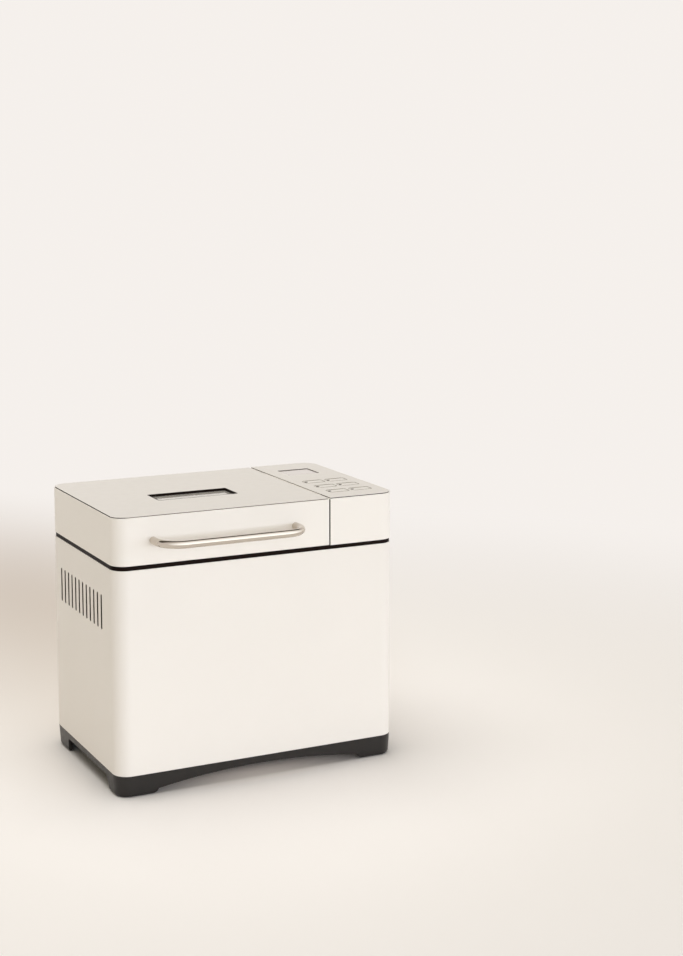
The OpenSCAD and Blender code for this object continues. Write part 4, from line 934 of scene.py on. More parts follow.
@dataclass
class PaintedWrap:
    """The painted sheet round the front and sides, open at the rear behind its cover."""

    house: Housing
    slots: int = 12
    pitch: float = 13.15
    slot_w: float = 3.9
    slot_l: float = 39.8
    slot_drop: float = 34.7
    slot_shift: float = 3.3
    edge: float = 0.5
    border: float = 1.5
    cover_gap: float = 0.4
    flange: float = 8.0
    flange_hold: float = 4.0

    def vents(self, middle: float, count: int, pitch: float, w: float, z: float) -> list[Plan]:
        """A row of upright slots.

        Args:
            middle: the row's middle.
            count: how many slots it has.
            pitch: from one slot to the next.
            w: a slot's width.
            z: height of the slots' middles.

        Returns:
            The slots' plans.
        """
        places = middle + (np.arange(count) - (count - 1) / 2) * pitch
        return [Plan.centred(x, z, w, self.slot_l, w / 2 - 0.01, 8) for x in places.tolist()]

    @property
    def slot_z(self) -> float:
        """Height of the middle of the slots."""
        return float(self.house.box.high[2]) - self.slot_drop - self.slot_l / 2

    def build(self) -> None:
        """The sheet: rounded lower and upper edge all round, flat sides with slots, open rear."""
        low, high, t = self.house.box.low, self.house.box.high, self.house.sheet
        front_r, rear_r = self.house.front_r + 1, self.house.rear_r + 1
        y0, y1, xr = low[1] + front_r, high[1] - rear_r, high[0] - rear_r
        plan = self.house.plan(front=(low[0] + front_r, high[0] - front_r), right=(y0, y1),
                               rear=(xr, -xr), left=(y1, y0))
        z0, z1, e = low[2], high[2], self.edge
        b0, b1 = z0 + self.border, z1 - self.border
        shell = Shell()
        shell.grid(plan.rows(profile((t, b0), (t, z0), arc(e, z0 + e, e, 270, 180, 4), (0, b0))))
        shell.grid(plan.rows(profile((0, b1), arc(e, z1 - e, e, 180, 90, 4), (t, z1), (t, b1))))
        ring = plan.at()
        after = np.roll(ring, -1, axis=0)
        middle, length = (ring + after) / 2, np.linalg.norm(after - ring, axis=1)
        flat = (np.abs(middle[:, 0]) > high[0] - 1) | (middle[:, 1] > high[1] - 1)
        kept = ~(flat & (length > 100))
        shell.wall(plan, b0, b1, keep=kept)
        shell.wall(plan, b0, b1, t, keep=kept, flip=True)
        for side in (-1, 1):
            edge = np.array([[y0, b0], [y1, b0], [y1, b1], [y0, b1]]) * (side, 1)
            plane = Plane((side * high[0], 0, 0), (0, side, 0), (0, 0, 1))
            middle = side * self.slot_shift
            holes = self.vents(middle, self.slots, self.pitch, self.slot_w, self.slot_z)
            # The slots' walls take finish 1, painted shade, for the shade inside the slots
            shell.pierced(plane, edge, edge, holes, t, 0.3, wall_mark=1)
        self.open_rear(shell, np.array([[-xr, b0], [xr, b0], [xr, b1], [-xr, b1]]))
        add_piece("painted_wrap", shell, [CREAM_PAINT, PAINTED_SHADE], "machine", "body_wrap")

    def open_rear(self, shell: Shell, edge: np.ndarray) -> None:
        """The rear round the cover's opening, and the flange behind it that the cover lies on.

        Args:
            shell: takes the surfaces.
            edge: corners of the flat rear.
        """
        cover, y, t = span("rear_cover"), self.house.box.high[1], self.house.sheet
        w, h = cover.size[0] + 2 * self.cover_gap, cover.size[2] + 2 * self.cover_gap
        gap, outer, inner = (
            Plan.centred(0, cover.mid[2], w + grow, h + grow, r, 2)
            for grow, r in ((0, 0.3), (2 * self.flange_hold, 1), (-2 * self.flange, 1)))
        shell.pierced(Plane((0, y, 0), (-1, 0, 0), (0, 0, 1)), edge, edge, [gap], t, 0.15)
        behind = Plane((0, y - t, 0), (-1, 0, 0), (0, 0, 1))
        shell.pierced(behind, outer.at(), outer.at(), [inner], t, 0.1)
        shell.grid(np.stack([behind.put(outer.at(), t), behind.put(outer.at())]))


@dataclass
class RearCover:
    """The vented sheet that closes the rear, and the cord's inlet bush in it."""

    wrap: PaintedWrap
    screw_hole: float = 2.85
    screw_low: float = 18.0
    motor_slots: int = 7
    motor_pitch: float = 7.0
    motor_slot_w: float = 3.5
    motor_slot_x: float = 104.0
    motor_slot_z: float = 120.6
    chamber_slots: int = 14
    bush_lip: float = 3.0
    bush_bore: float = 3.6

    def build(self) -> None:
        """Builds the cover and the bush."""
        bush = span("cable_gland")
        neck = bush.size[0] / 2 - self.bush_lip
        self.build_cover(bush, neck)
        self.build_bush(bush, neck)

    def build_cover(self, bush: Span, neck: float) -> None:
        """The cover with its slots, screw holes and bush hole.

        Args:
            bush: the bush's box.
            neck: radius of the bush's neck.
        """
        box, wrap = span("rear_cover"), self.wrap
        t, z = wrap.house.sheet, box.mid[2]
        face = Plan.centred(0, z, box.size[0], box.size[2], 0.6, 3)
        # The plane looks along +Y, so its first direction is -X
        holes = wrap.vents(-span("chamber_liner").mid[0] - wrap.pitch / 2, self.chamber_slots,
                           wrap.pitch, wrap.slot_w, wrap.slot_z)
        holes += wrap.vents(-self.motor_slot_x, self.motor_slots, self.motor_pitch,
                            self.motor_slot_w, self.motor_slot_z)
        width = 2 * neck + 0.1
        holes.append(Plan.centred(-bush.mid[0], bush.mid[2], width, width, neck, 8))
        reach = box.size[0] / 2 + wrap.cover_gap - wrap.flange / 2 - 0.5
        half, r = box.size[2] / 2 + wrap.cover_gap - self.screw_low, self.screw_hole
        holes += [Plan.centred(sx * reach, z + k * half, 2 * r, 2 * r, r - 0.01, 6)
                  for sx in (-1, 1) for k in (-1, 0, 1)]
        plane = Plane((0, box.high[1], 0), (-1, 0, 0), (0, 0, 1))
        shell = Shell()
        # The holes' walls take finish 1, painted shade, for the shade inside them
        shell.pierced(plane, face.at(0.3), face.at(), holes, t, 0.2, wall_mark=1)
        shell.grid(np.stack([plane.put(face.at(), t), plane.put(face.at(), 0.3),
                             plane.put(face.at(0.09), 0.09), plane.put(face.at(0.3))]))
        add_piece("vented_rear_cover", shell, [CREAM_PAINT, PAINTED_SHADE], "machine", "rear_cover")

    def build_bush(self, bush: Span, neck: float) -> None:
        """The bush as a turned form: a neck with a foot inside and a round lip outside.

        Args:
            bush: the bush's box.
            neck: radius of its neck.
        """
        depth, lip, bore = bush.size[1], neck + self.bush_lip, self.bush_bore
        seat = depth - (bush.high[1] - span("rear_cover").high[1])
        path = profile((bore, 0), (neck - 0.8, 0), (neck, 1.5), (neck, seat), (lip, seat),
                       arc(lip - 0.8, depth - 0.8, 0.8, 0, 90, 4), (bore + 1.4, depth),
                       arc(bore + 1.0, depth - 1.0, 1.0, 90, 180, 4), (bore, 2))
        shell = Shell()
        shell.turned(path, (bush.mid[0], bush.low[1], bush.mid[2]), "y", loop=True)
        add_piece("cord_inlet_bush", shell, [BLACK_MOULDING], "machine", "cable_gland")


@dataclass
class BaseTray:
    """The black tray on four feet, with a shallow arch in front and behind and one at each side."""

    house: Housing
    taper: float = 1.5
    edge: float = 3.5
    soft: float = 0.6
    turn_in: float = 1.2
    foot_w: float = 40.0
    arch_h: float = 16.0
    shoulder: float = 6.0
    side_h: float = 17.0
    side_r: float = 4.0
    side_slope: float = 3.0
    foot_front: float = 35.5
    foot_rear: float = 47.5
    floor_z: float = 19.5
    floor_t: float = 2.5
    wall: float = 2.5
    pad_x: float = 148.0
    pad_y: float = 92.0
    pad_r: float = 9.0
    pad_deep: float = 2.4
    post: Point = (132.0, 62.0, 44.0)
    post_r: float = 6.0
    post_bore: float = 2.05
    air_slots: int = 7
    air_x: float = 124.0
    air_pitch: float = 9.0
    air_size: tuple[float, float] = (40.0, 3.5)

    def inset(self, z: np.ndarray, foot: float) -> np.ndarray:
        """How far the outside lies in at a height: a quarter round below, a straight taper above.

        Args:
            z: the heights.
            foot: height of the lower edge.

        Returns:
            The insets.
        """
        up = np.clip(1 - (z - foot) / self.edge, 0, 1)
        curve = self.taper + self.edge * (1 - np.sqrt(1 - up**2))
        top = self.house.box.low[2]
        slope = self.taper * (top - z) / (top - foot - self.edge)
        return np.where(z < foot + self.edge, curve, slope)

    def arch(self, x: np.ndarray) -> np.ndarray:
        """Height of the front arch: a round shoulder at each foot, then one flat circle arc.

        Args:
            x: places along the front.

        Returns:
            The heights.
        """
        half, run = self.house.box.high[0] - self.foot_w, 1.5 * self.shoulder
        r = (run**2 + self.shoulder**2) / (2 * self.shoulder)
        rise, reach = self.arch_h - self.shoulder, half - run
        big = (reach**2 + rise**2) / (2 * rise)
        near = np.clip(half - np.abs(x), 0, run)
        crown = self.arch_h - big + np.sqrt(big**2 - np.clip(np.abs(x), 0, reach) ** 2)
        return np.where(np.abs(x) > reach, r - np.sqrt(r**2 - near**2), crown)

    def side_arch(self, foot: float) -> np.ndarray:
        """The side arch: two steep sides with a round corner on each and a level top.

        Args:
            foot: height of the lower edge.

        Returns:
            Points (y, z) from the rear foot to the front one.
        """
        box, r, h = self.house.box, self.side_r, self.side_h
        y0, y1 = box.low[1] + self.foot_front, box.high[1] - self.foot_rear
        return profile((y1, foot), arc(y1 - self.side_slope - r, h - r, r, 10, 90, 5),
                       arc(y0 + self.side_slope + r, h - r, r, 90, 170, 5), (y0, foot))

    def skin(self, foot: float) -> np.ndarray:
        """The tray's skin, from its floor below out round the lower edge, up and in to its floor.

        Each column of the outside runs from the arch's height z0 up to the wrap,
        z = z0 + (top - z0) t^1.6, drawn in by inset(z).

        Args:
            foot: height of the lower edge.

        Returns:
            The points, one row for each step of the profile.
        """
        top, half = self.house.box.low[2], self.house.box.high[0] - self.foot_w
        reach = half - 1.5 * self.shoulder
        xs = np.concatenate([np.linspace(-half, -reach, 8), np.linspace(-reach, reach, 33)[1:-1],
                             np.linspace(reach, half, 8)])
        side = self.side_arch(foot)
        plan = self.house.plan(12, front=tuple(xs), rear=tuple(xs[::-1]),
                               left=tuple(side[:, 0]), right=tuple(side[::-1, 0]))
        ring, foot_z = plan.at(), np.full(plan.steps + 1, foot)
        front, rear = (np.maximum(self.arch(x), foot) for x in (xs, xs[::-1]))
        z0 = np.concatenate([foot_z, front, foot_z, side[::-1, 1],
                             foot_z, rear, foot_z, side[:, 1]])
        inward = plan.at(1.0) - ring
        soft = self.soft
        z = z0 + soft + (top - z0 - soft) * np.linspace(0, 1, 15)[:, None] ** 1.6
        edge = self.inset(z[:1], foot)
        below, above, rim, inner, wall = (
            np.full_like(z0, value) for value in (
                self.floor_z, self.floor_z + self.floor_t, top,
                self.taper + self.edge + self.turn_in, self.wall))
        inset = np.concatenate([[inner, inner], edge + soft, edge + 0.3 * soft,
                                self.inset(z, foot), [wall, wall]])
        height = np.concatenate([[below, z0, z0, z0 + 0.3 * soft], z, [rim, above]])
        return np.concatenate([ring + inset[..., None] * inward, height[..., None]], -1)

    def build(self) -> None:
        """Builds tray and pads."""
        self.build_tray()
        self.build_pads()

    def build_tray(self) -> None:
        """The tray's skin, its floor with air slots and bores, the pads' bosses and the posts."""
        foot, below = float(span("base_tray").low[2]), self.floor_z
        above, skin, b = below + self.floor_t, self.skin(foot), self.post_bore
        shell = Shell()
        shell.grid(skin)
        reach = self.air_slots // 2
        holes = [Plan.centred(self.air_x, self.air_pitch * i, *self.air_size, 1.74, 6)
                 for i in range(-reach, reach + 1)]
        holes += [Plan.centred(sx * self.post[0], sy * self.post[1], 2 * b, 2 * b, b - 0.01, 5)
                  for sx, sy in CORNERS]
        shell.flat(level(below), skin[0, :, :2], [hole.at() for hole in holes], up=False)
        shell.flat(level(above), skin[-1, :, :2], [hole.at() for hole in holes])
        for hole in holes:
            shell.wall(hole, above, below)
        r, up, deep = self.pad_r, below - foot + 0.5, self.pad_deep
        boss = profile((0, deep), (r + 0.05, deep), (r + 0.05, 0.2), (r + 0.3, 0), (r + 2.5, 0),
                       (r + 3, 0.5), (r + 3, up), (0, up))
        r, h = self.post_r, self.post[2] - above
        post = profile((b, 0), (r + 0.4, 0), (r, 1.2), (r, h - 0.4), (r - 0.4, h), (b, h))
        for sx, sy in CORNERS:
            shell.turned(boss, (sx * self.pad_x, sy * self.pad_y, foot), steps=40)
            shell.turned(post, (sx * self.post[0], sy * self.post[1], above), loop=True)
        add_piece("base_tray_with_feet", shell, [BLACK_MOULDING], "machine", "base_tray")

    def build_pads(self) -> None:
        """The four rubber pads, each a turned form with a hollow in its sole."""
        r, h = self.pad_r, span("foot_pads").high[2]
        path = profile((0, 0.5), (r - 3.6, 0.5), arc(r - 3.2, 0.35, 0.35, 180, 270, 3),
                       (r - 1.2, 0), arc(r - 0.9, 0.9, 0.9, 270, 360, 4), (r, h), (0, h))
        shell = Shell()
        for sx, sy in CORNERS:
            shell.turned(path, (sx * self.pad_x, sy * self.pad_y, 0), steps=40)
        add_piece("rubber_foot_pads", shell, [DARK_RUBBER], "machine", "foot_pads")


@dataclass
class TopFrame:
    """The dark band under the lid: its deck with the chamber's mouth and the hinge knuckles."""

    house: Housing
    hinge: Hinge
    inset: float = 1.0
    edge: float = 0.4
    lip: float = 1.5
    rim: float = 2.4
    deck: float = 3.0
    mouth_inset: float = 7.0
    mouth_r: float = 24.0
    mouth_flare: float = 1.8

    def build(self) -> None:
        """The frame's outside, deck and lip in one closed form, and two turned knuckles."""
        oven, pins, hinge = span("chamber_liner"), span("hinge_pins"), self.hinge
        plan, i, e, flare = self.house.plan(), self.inset, self.edge, self.mouth_flare
        top, low = float(span("panel_housing").low[2]), span("top_frame").low[2]
        wrap_top, deck, rim = self.house.box.high[2], top - self.deck, self.lip + self.rim
        mouth = oven.plan(self.mouth_r, -2 * self.mouth_inset, 12)
        shell = Shell()
        shell.grid(plan.rows(profile(
            (rim, low), (self.lip, low), (self.lip, wrap_top), (i, wrap_top), (i, top - 1.2),
            arc(i + e, top - e, e, 180, 90, 4), (i + 1.5, top))))
        shell.wall(plan, deck, low, rim)
        shell.flat(level(top), plan.at(i + 1.5), [mouth.at(-flare)])
        shell.grid(mouth.rows(profile(
            (-flare, top), arc(-1.0, top - 1.0, 1.0, 90, 0, 5), (0, deck))))
        shell.flat(level(deck), plan.at(rim), [mouth.at()], up=False)
        knuckle = barrel(hinge.bore, hinge.knuckle_r, hinge.knuckle, 0.5)
        y, z = pins.mid[1:]
        for x in hinge.middles():
            shell.turned(knuckle, (x - hinge.knuckle / 2, y, z), "x", 36, loop=True)
            shell.block(Plan.centred(x, y, hinge.knuckle, 6, 0.3, 2), top - 1, z - 2.5, 0.1)
        add_piece("dark_top_frame", shell, [BLACK_FRAME], "machine", "top_frame")


# ------------ lid


@dataclass
class Lid:
    """The hinged lid: moulded shell, top plate, window, handle and its inner liner and seal."""

    house: Housing
    hinge: Hinge
    wall: float = 2.0
    edge: float = 0.8
    face_inset: float = 4.0
    corner: float = 0.8
    hinge_r: float = 7.0
    plate_inset: float = 0.7
    # Width of the painted shade on the plate's left edge, and height of the softer painted shade
    # along its front seam
    shade_left: float = 0.32
    shaded_front: float = 0.6
    rim: float = 1.2
    ledge: float = 3.0
    bezel_flange: float = 3.5
    opening_gap: float = 0.4
    glass_gap: float = 0.2
    handle_r: float = 4.4
    handle_bend: float = 26.0
    dome_r: float = 24.0
    dome_inset: float = 6.0
    dome_bend: float = 7.0
    liner: float = 1.0
    inner_opening: tuple[float, float] = (103.0, 43.5)
    seal_r: float = 29.8
    seal_w: float = 5.0

    def plan(self, **sides: tuple[float, ...]) -> Plan:
        """The lid's plan: round at its left corners, nearly sharp along the seam to the panel."""
        box, house = span("lid_shell"), self.house
        return Plan(box.low[0], box.high[0], box.low[1], house.box.high[1],
                    (house.front_r, self.corner, self.corner, house.rear_r), 14, **sides)

    def under(self, y: np.ndarray, r: float) -> np.ndarray:
        """The lid's lower side: level in front of the hinge, a round about it behind.

        Args:
            y: places from front to rear.
            r: radius of the round.

        Returns:
            The heights.
        """
        pins, low = span("hinge_pins"), span("lid_shell").low[2]
        back = np.clip(y - pins.mid[1], 0, r)
        return np.where(y > pins.mid[1], pins.mid[2] - np.sqrt(r**2 - back**2), low)

    def build_shell(self) -> None:
        """The moulded shell.

        Its walls follow the plan, and near the hinge their lower edge runs up round the axis.
        Behind the axis the underside is the strip (x, y, under(y)) between axis and rear edge.
        """
        box, pins, hinge = span("lid_shell"), span("hinge_pins"), self.hinge
        t, e, f, top, hy = self.wall, self.edge, self.face_inset, box.high[2], pins.mid[1]
        deck, front = top - t, self.house.front_r + 1
        half = hinge.knuckle / 2 + hinge.gap
        notch = [middle + k * half for middle in hinge.middles()[::-1]
                 for k in (1, 1.0001, -1.0001, -1)]
        plan = self.plan(front=(box.low[0] + front,), right=(hy,), rear=tuple(notch),
                         left=(hy - 14, box.low[1] + front))
        outer = plan.rows(profile(arc(e, e, e, 270, 180, 4), (0, 2.0), (0, top - 2),
                                  arc(e, top - e, e, 180, 90, 5), (f, top)))
        outer[..., 2] += np.where(outer[..., 2] < 3, self.under(outer[..., 1], self.hinge_r), 0)
        inner = plan.rows(np.array([[t, deck], [t, 0.0]]))
        inner[1, :, 2] = self.under(inner[1, :, 1], self.hinge_r - t)
        shell = Shell()
        for rows in (outer, inner, np.stack([inner[1], outer[0]])):
            shell.grid(rows)
        self.close_rear(shell, plan.at(e + 0.3), hy)
        window = self.window()
        shell.flat(level(top), plan.at(f), [window.at()])
        shell.flat(level(deck), plan.at(t), [window.at()], up=False)
        shell.wall(window, top, deck)
        lug = barrel(hinge.bore, hinge.lug_r, hinge.lug, 0.4)
        for middle in hinge.middles():
            for k in (-1, 1):
                x = middle + k * (half + hinge.lug / 2) - hinge.lug / 2
                shell.turned(lug, (x, hy, pins.mid[2]), "x", 36, loop=True)
        add_piece("lid_housing", shell, [CREAM_MOULDING], "lid", "lid_shell")

    def close_rear(self, shell: Shell, rear: np.ndarray, hy: float) -> None:
        """The underside behind the hinge's axis: a strip below, one inside, and an edge round both.

        Args:
            shell: takes the surfaces.
            rear: the lid's outline just inside its lower edge.
            hy: the axis's place from front to rear.
        """
        rear = rear[rear[:, 1] > hy]
        y = hy + (rear[:, 1] - hy) * np.linspace(0, 1, 8)[:, None]
        x = np.broadcast_to(rear[:, 0], y.shape)
        below = np.stack([x, y, self.under(y, self.hinge_r)], -1)
        y = np.minimum(y, self.house.box.high[1] - self.wall)
        inside = np.stack([x, y, self.under(y + 1e-6, self.hinge_r - self.wall)], -1)
        shell.grid(below, wrap=False)
        shell.grid(inside, wrap=False, flip=True)
        shell.grid(np.stack([
            np.concatenate([strip[0], strip[1:, -1], strip[-1, -2::-1], strip[-2:0:-1, 0]])
            for strip in (inside, below)]))

    def window(self) -> Plan:
        """The opening in shell and plate that the bezel fills."""
        return span("window_glass").plan(2.5, 2 * self.rim + self.opening_gap + self.glass_gap)

    def build_plate(self) -> None:
        """The satin plate: a seam of painted shade below, a rounded edge, and the window's opening.
        """
        box = span("lid_plate")
        (x0, y0, z0), z1, side_y = box.low, box.high[2], box.low[1] + self.house.front_r / 2
        shell = top_plate(self.plan(), self.plate_inset, box, [self.window()], [])
        # Painted shade on the plate's left edge, the side away from the light
        shell.paint(lambda m: (m[:, 0] < x0 + self.shade_left) & (m[:, 1] > side_y)
                    & (m[:, 2] < z1 - 0.005), 1)
        # A softer painted shade along the front seam
        shell.paint(lambda m: (m[:, 1] < y0 + 1) & (m[:, 2] > z0 + 0.01)
                    & (m[:, 2] < z0 + self.shaded_front), 2)
        add_piece("lid_top_plate", shell, [SATIN_PLATE, PAINTED_SHADE, SHADED_SEAM], "lid", "lid_plate")

    def build_window(self) -> None:
        """The bezel as a closed profile round the opening, then the glass on its ledge."""
        box, glass = span("window_bezel"), span("window_glass")
        deck, f, rim = span("lid_shell").high[2] - self.wall, self.bezel_flange, self.rim
        top, low, e = box.high[2], box.low[2], 0.3
        path = profile((rim + self.ledge, low), (-f, low), (-f, deck), (0, deck),
                       arc(e, top - e, e, 180, 90, 3), arc(rim - e, top - e, e, 90, 0, 3),
                       (rim, glass.low[2]), (rim + self.ledge, glass.low[2]))
        shell = Shell()
        shell.grid(glass.plan(2.3, self.glass_gap + 2 * rim, 8).rows(path), loop=True)
        add_piece("window_bezel_ring", shell, [BLACK_FRAME], "lid", "window_bezel")
        shell = Shell()
        shell.block(glass.plan(1.1), glass.low[2], glass.high[2], 0.3, 0.3)
        add_piece("window_pane", shell, [WINDOW_GLASS], "lid", "window_glass")

    def build_handle(self) -> None:
        """The handle: one tube, out from the lid's face, along the bar and back."""
        box = span("lid_handle")
        r, z = self.handle_r, box.mid[2]
        x0, x1, bar, face = box.low[0] + r, box.high[0] - r, box.low[1] + r, box.high[1]
        line = bent_line([(x0, face, z), (x0, bar, z), (x1, bar, z), (x1, face, z)],
                         [self.handle_bend] * 2, 24)
        shell = Shell()
        shell.tube(line, r, 40, 0.3)
        add_piece("lid_handle_tube", shell, [HANDLE_STEEL], "lid", "lid_handle")

    def build_liner(self) -> None:
        """The liner: a sheet with a raised box in it, and the window's inner opening."""
        box, glass, oven = span("lid_liner"), span("window_glass"), span("chamber_liner")
        t, low, top, b = self.liner, box.low[2], box.high[2], self.dome_bend
        dome = Plan.centred(oven.mid[0], 0, *(oven.size[:2] - 2 * self.dome_inset), self.dome_r, 12)
        edge = Plan(box.low[0], box.high[0], box.low[1], box.high[1],
                    (self.house.front_r - 2.3, 0.8, 0.8, 0.8), 10)
        hole = Plan.centred(*glass.mid[:2], *self.inner_opening, 4)
        shell = Shell()
        shell.flat(level(low), edge.at(), [dome.at(-2.5)], up=False)
        shell.flat(level(low + t), edge.at(), [dome.at(-3.0)])
        shell.wall(edge, low, low + t)
        shell.grid(dome.rows(profile((-2.5, low), arc(-2.5, low + 2.5, 2.5, 270, 360, 5),
                                     arc(b, top - t - b, b, 180, 90, 8))), flip=True)
        shell.grid(dome.rows(profile((-3.0, low + t), (-1, low + t + 2),
                                     arc(b, top - b - t, b + t, 180, 90, 8))))
        shell.flat(level(top - t), dome.at(b), [hole.at()], up=False)
        shell.flat(level(top), dome.at(b), [hole.at()])
        shell.wall(hole, top, top - t)
        add_piece("lid_inner_liner", shell, [LINER_STEEL], "lid", "lid_liner")

    def build_inner_pane(self) -> None:
        """The inner pane: a flat block with rounded edges."""
        pane = span("inner_window")
        shell = Shell()
        shell.block(pane.plan(4), pane.low[2], pane.high[2], 0.4, 0.4)
        add_piece("inner_window_pane", shell, [WINDOW_GLASS], "lid", "inner_window")

    def build_seal(self) -> None:
        """The seal: a closed profile with a round underside, carried round the liner's box."""
        (x0, y0, z0), (x1, y1, z1) = span("lid_seal").low, span("lid_seal").high
        path = profile(arc(self.seal_w - 1, z0 + 1, 1.0, 360, 270, 4),
                       arc(1.0, z0 + 1, 1.0, 270, 180, 4), (0, z1), (self.seal_w, z1))
        shell = Shell()
        shell.grid(Plan(x0, x1, y0, y1, (self.seal_r,) * 4, 12).rows(path), loop=True)
        add_piece("lid_seal_ring", shell, [GREY_SILICONE], "lid", "lid_seal")

    def build(self) -> None:
        """Builds the lid's pieces."""
        self.build_shell()
        self.build_plate()
        self.build_window()
        self.build_handle()
        self.build_liner()
        self.build_inner_pane()
        self.build_seal()


def top_plate(plan: Plan, inset: float, box: Span, holes: list[Plan],
              shade_holes: list[Plan]) -> Shell:
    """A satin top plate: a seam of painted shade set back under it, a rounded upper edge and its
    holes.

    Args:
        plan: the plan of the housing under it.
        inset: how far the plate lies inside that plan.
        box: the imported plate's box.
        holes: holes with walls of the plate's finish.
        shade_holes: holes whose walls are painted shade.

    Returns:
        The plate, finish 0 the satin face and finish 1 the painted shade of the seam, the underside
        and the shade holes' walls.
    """
    z0, z1, e, rim = box.low[2], box.high[2], 0.3, 0.25
    back, face, seam = inset + 0.5, inset + 1.2, z0 + 0.9
    shell = Shell()
    # The set-back seam and the underside take finish 1, painted shade
    shell.wall(plan, z0, seam, back, mark=1)
    shell.grid(plan.rows(profile((back, seam), (inset, seam), (inset, z1 - e),
                                 arc(inset + e, z1 - e, e, 180, 90, 5), (face, z1))))
    every = holes + shade_holes
    shell.flat(level(z1), plan.at(face), [hole.at(-rim) for hole in every])
    shell.flat(level(z0), plan.at(back), [hole.at() for hole in every], up=False, mark=1)
    for hole in every:
        shell.grid(hole.rows(np.array([[-rim, z1], [-0.08, z1 - 0.07], [0, z1 - rim]])))
        shell.wall(hole, z1 - rim, z0, mark=1 if hole in shade_holes else 0)
    return shell


# ------------ control panel


@dataclass
class ControlPanel:
    """The fixed panel beside the lid: housing, top plate, display lens and six keys."""

    house: Housing
    lid: Lid
    keys: tuple[str, ...] = ("menu", "loaf", "crust", "timer", "start", "stop")
    wall: float = 2.0
    edge: float = 0.8
    face_inset: float = 4.0
    gap: float = 0.7
    play: float = 0.25
    seal: float = 0.2
    sunk: float = 0.35
    # Radius of the dot of painted shade on each key, and how far in from the cap's left end it lies
    shade_dot_r: float = 1.9
    shade_dot_inset: float = 2.2
    # How far in from the left side the black painted shade in the split to the lid reaches
    shade_turn: float = 0.4
    # Lengths at the front and rear ends of the seam to the lid that stay painted shade
    shade_front_len: float = 28.0
    shade_rear_len: float = 45.0
    key_r: float = 2.0
    flange: float = 1.5
    flange_t: float = 1.2
    stem_r: float = 1.8
    # Length of the black painted shade at each end of the left side, in the split to the lid
    strip: float = 2.2
    soft_edge: float = 0.35
    boss: Point = (36.0, 98.0, 306.4)
    boss_r: float = 3.5

    def plan(self) -> Plan:
        """The panel's plan: nearly sharp along the seam, round at its right corners."""
        (x0, y0, _), (x1, y1, _) = span("panel_housing").low, span("panel_housing").high
        return Plan(x0, x1, y0, y1,
                    (self.lid.corner, self.house.front_r, self.house.rear_r, self.lid.corner), 14,
                    left=(y1 - self.strip, y1 - self.shade_rear_len,
                          y0 + self.shade_front_len, y0 + self.strip))

    def key_plan(self, key: str) -> Plan:
        """A key's cap: its flange's box less the flange's overlap."""
        return span(f"button_{key}").plan(self.key_r, -2 * self.flange)

    @cached_property
    def caps(self) -> list[Plan]:
        """The plans of the keys' caps."""
        return [self.key_plan(key) for key in self.keys]

    @cached_property
    def openings(self) -> list[Plan]:
        """The keys' openings in housing and plate."""
        return [Plan.centred(*np.add([cap.x0, cap.y0], [cap.x1, cap.y1]) / 2,
                             cap.x1 - cap.x0 + 2 * self.gap, cap.y1 - cap.y0 + 2 * self.gap,
                             self.key_r + self.gap) for cap in self.caps]

    def build(self) -> None:
        """Builds housing, plate, lens and keys."""
        self.build_housing()
        self.build_plate()
        self.build_lens()
        for key, cap in zip(self.keys, self.caps):
            self.build_key(key, cap)

    def build_housing(self) -> None:
        """The housing: walls on the plan, a deck with openings painted black inside as shade, and
        four screw bosses.
        """
        box = span("panel_housing")
        plan, t, e, f = self.plan(), self.wall, self.edge, self.face_inset
        z0, z1, deck = box.low[2], box.high[2], box.high[2] - t
        holes = [*self.openings, span("display_window").plan(1.3, 0.2)]
        shell = Shell()
        shell.grid(plan.rows(profile(
            (t, deck), (t, z0), (e, z0), arc(0.4, z0 + 0.4, 0.4, 270, 180, 3), (0, z0 + 2),
            (0, z1 - 2), arc(e, z1 - e, e, 180, 90, 5), (f, z1))))
        shell.flat(level(z1), plan.at(f), [hole.at() for hole in holes])
        shell.flat(level(deck), plan.at(t), [hole.at() for hole in holes], up=False)
        # The openings' walls take finish 1, black, as painted shade inside them
        for hole in holes:
            shell.wall(hole, z1, deck, mark=1)
        # Short strips at the front and rear ends of the left side, round its corner, are painted
        # black as the shade in the split to the lid
        side = box.low[0] + self.shade_turn
        front, rear = box.low[1] + self.strip, box.high[1] - self.strip
        shell.paint(lambda m: (m[:, 0] < side) & (m[:, 2] < z1 - 0.5)
                    & ((m[:, 1] < front) | (m[:, 1] > rear)), 1)
        x, y, z = self.boss
        r, h = self.boss_r, deck - z
        for sx, sy in CORNERS:
            shell.turned(profile((0, 0), (r - 0.3, 0), (r, 0.4), (r, h), (0, h)),
                         (box.mid[0] + sx * x, sy * y, z))
        add_piece("panel_housing_moulding", shell, [CREAM_MOULDING, BLACK_FRAME], "machine",
                  "panel_housing")

    def build_plate(self) -> None:
        """The plate, with a raised ring in the gap round each key.

        The rings are painted shade along a key's long sides and plain at its ends. The seam to the
        lid is painted shade near its front and rear ends and plain between them.
        """
        box, plate = span("panel_housing"), span("panel_plate")
        shell = top_plate(self.plan(), self.lid.plate_inset, plate, [],
                          [*self.openings, span("display_window").plan(1.0, -0.4)])
        z, low, g, play = plate.high[2], plate.low[2] + 0.05, self.gap, self.play
        proud = z + self.seal
        ring = profile((-g - 0.05, low), (-g - 0.05, proud - 0.08), (0.03 - g, proud),
                       (-play - 0.08, proud), (-play, proud - 0.08), (-play, low))
        # Each ring takes finish 2, a softer painted shade in the gap round the key
        for cap in self.caps:
            shell.grid(cap.rows(ring), loop=True, mark=2)
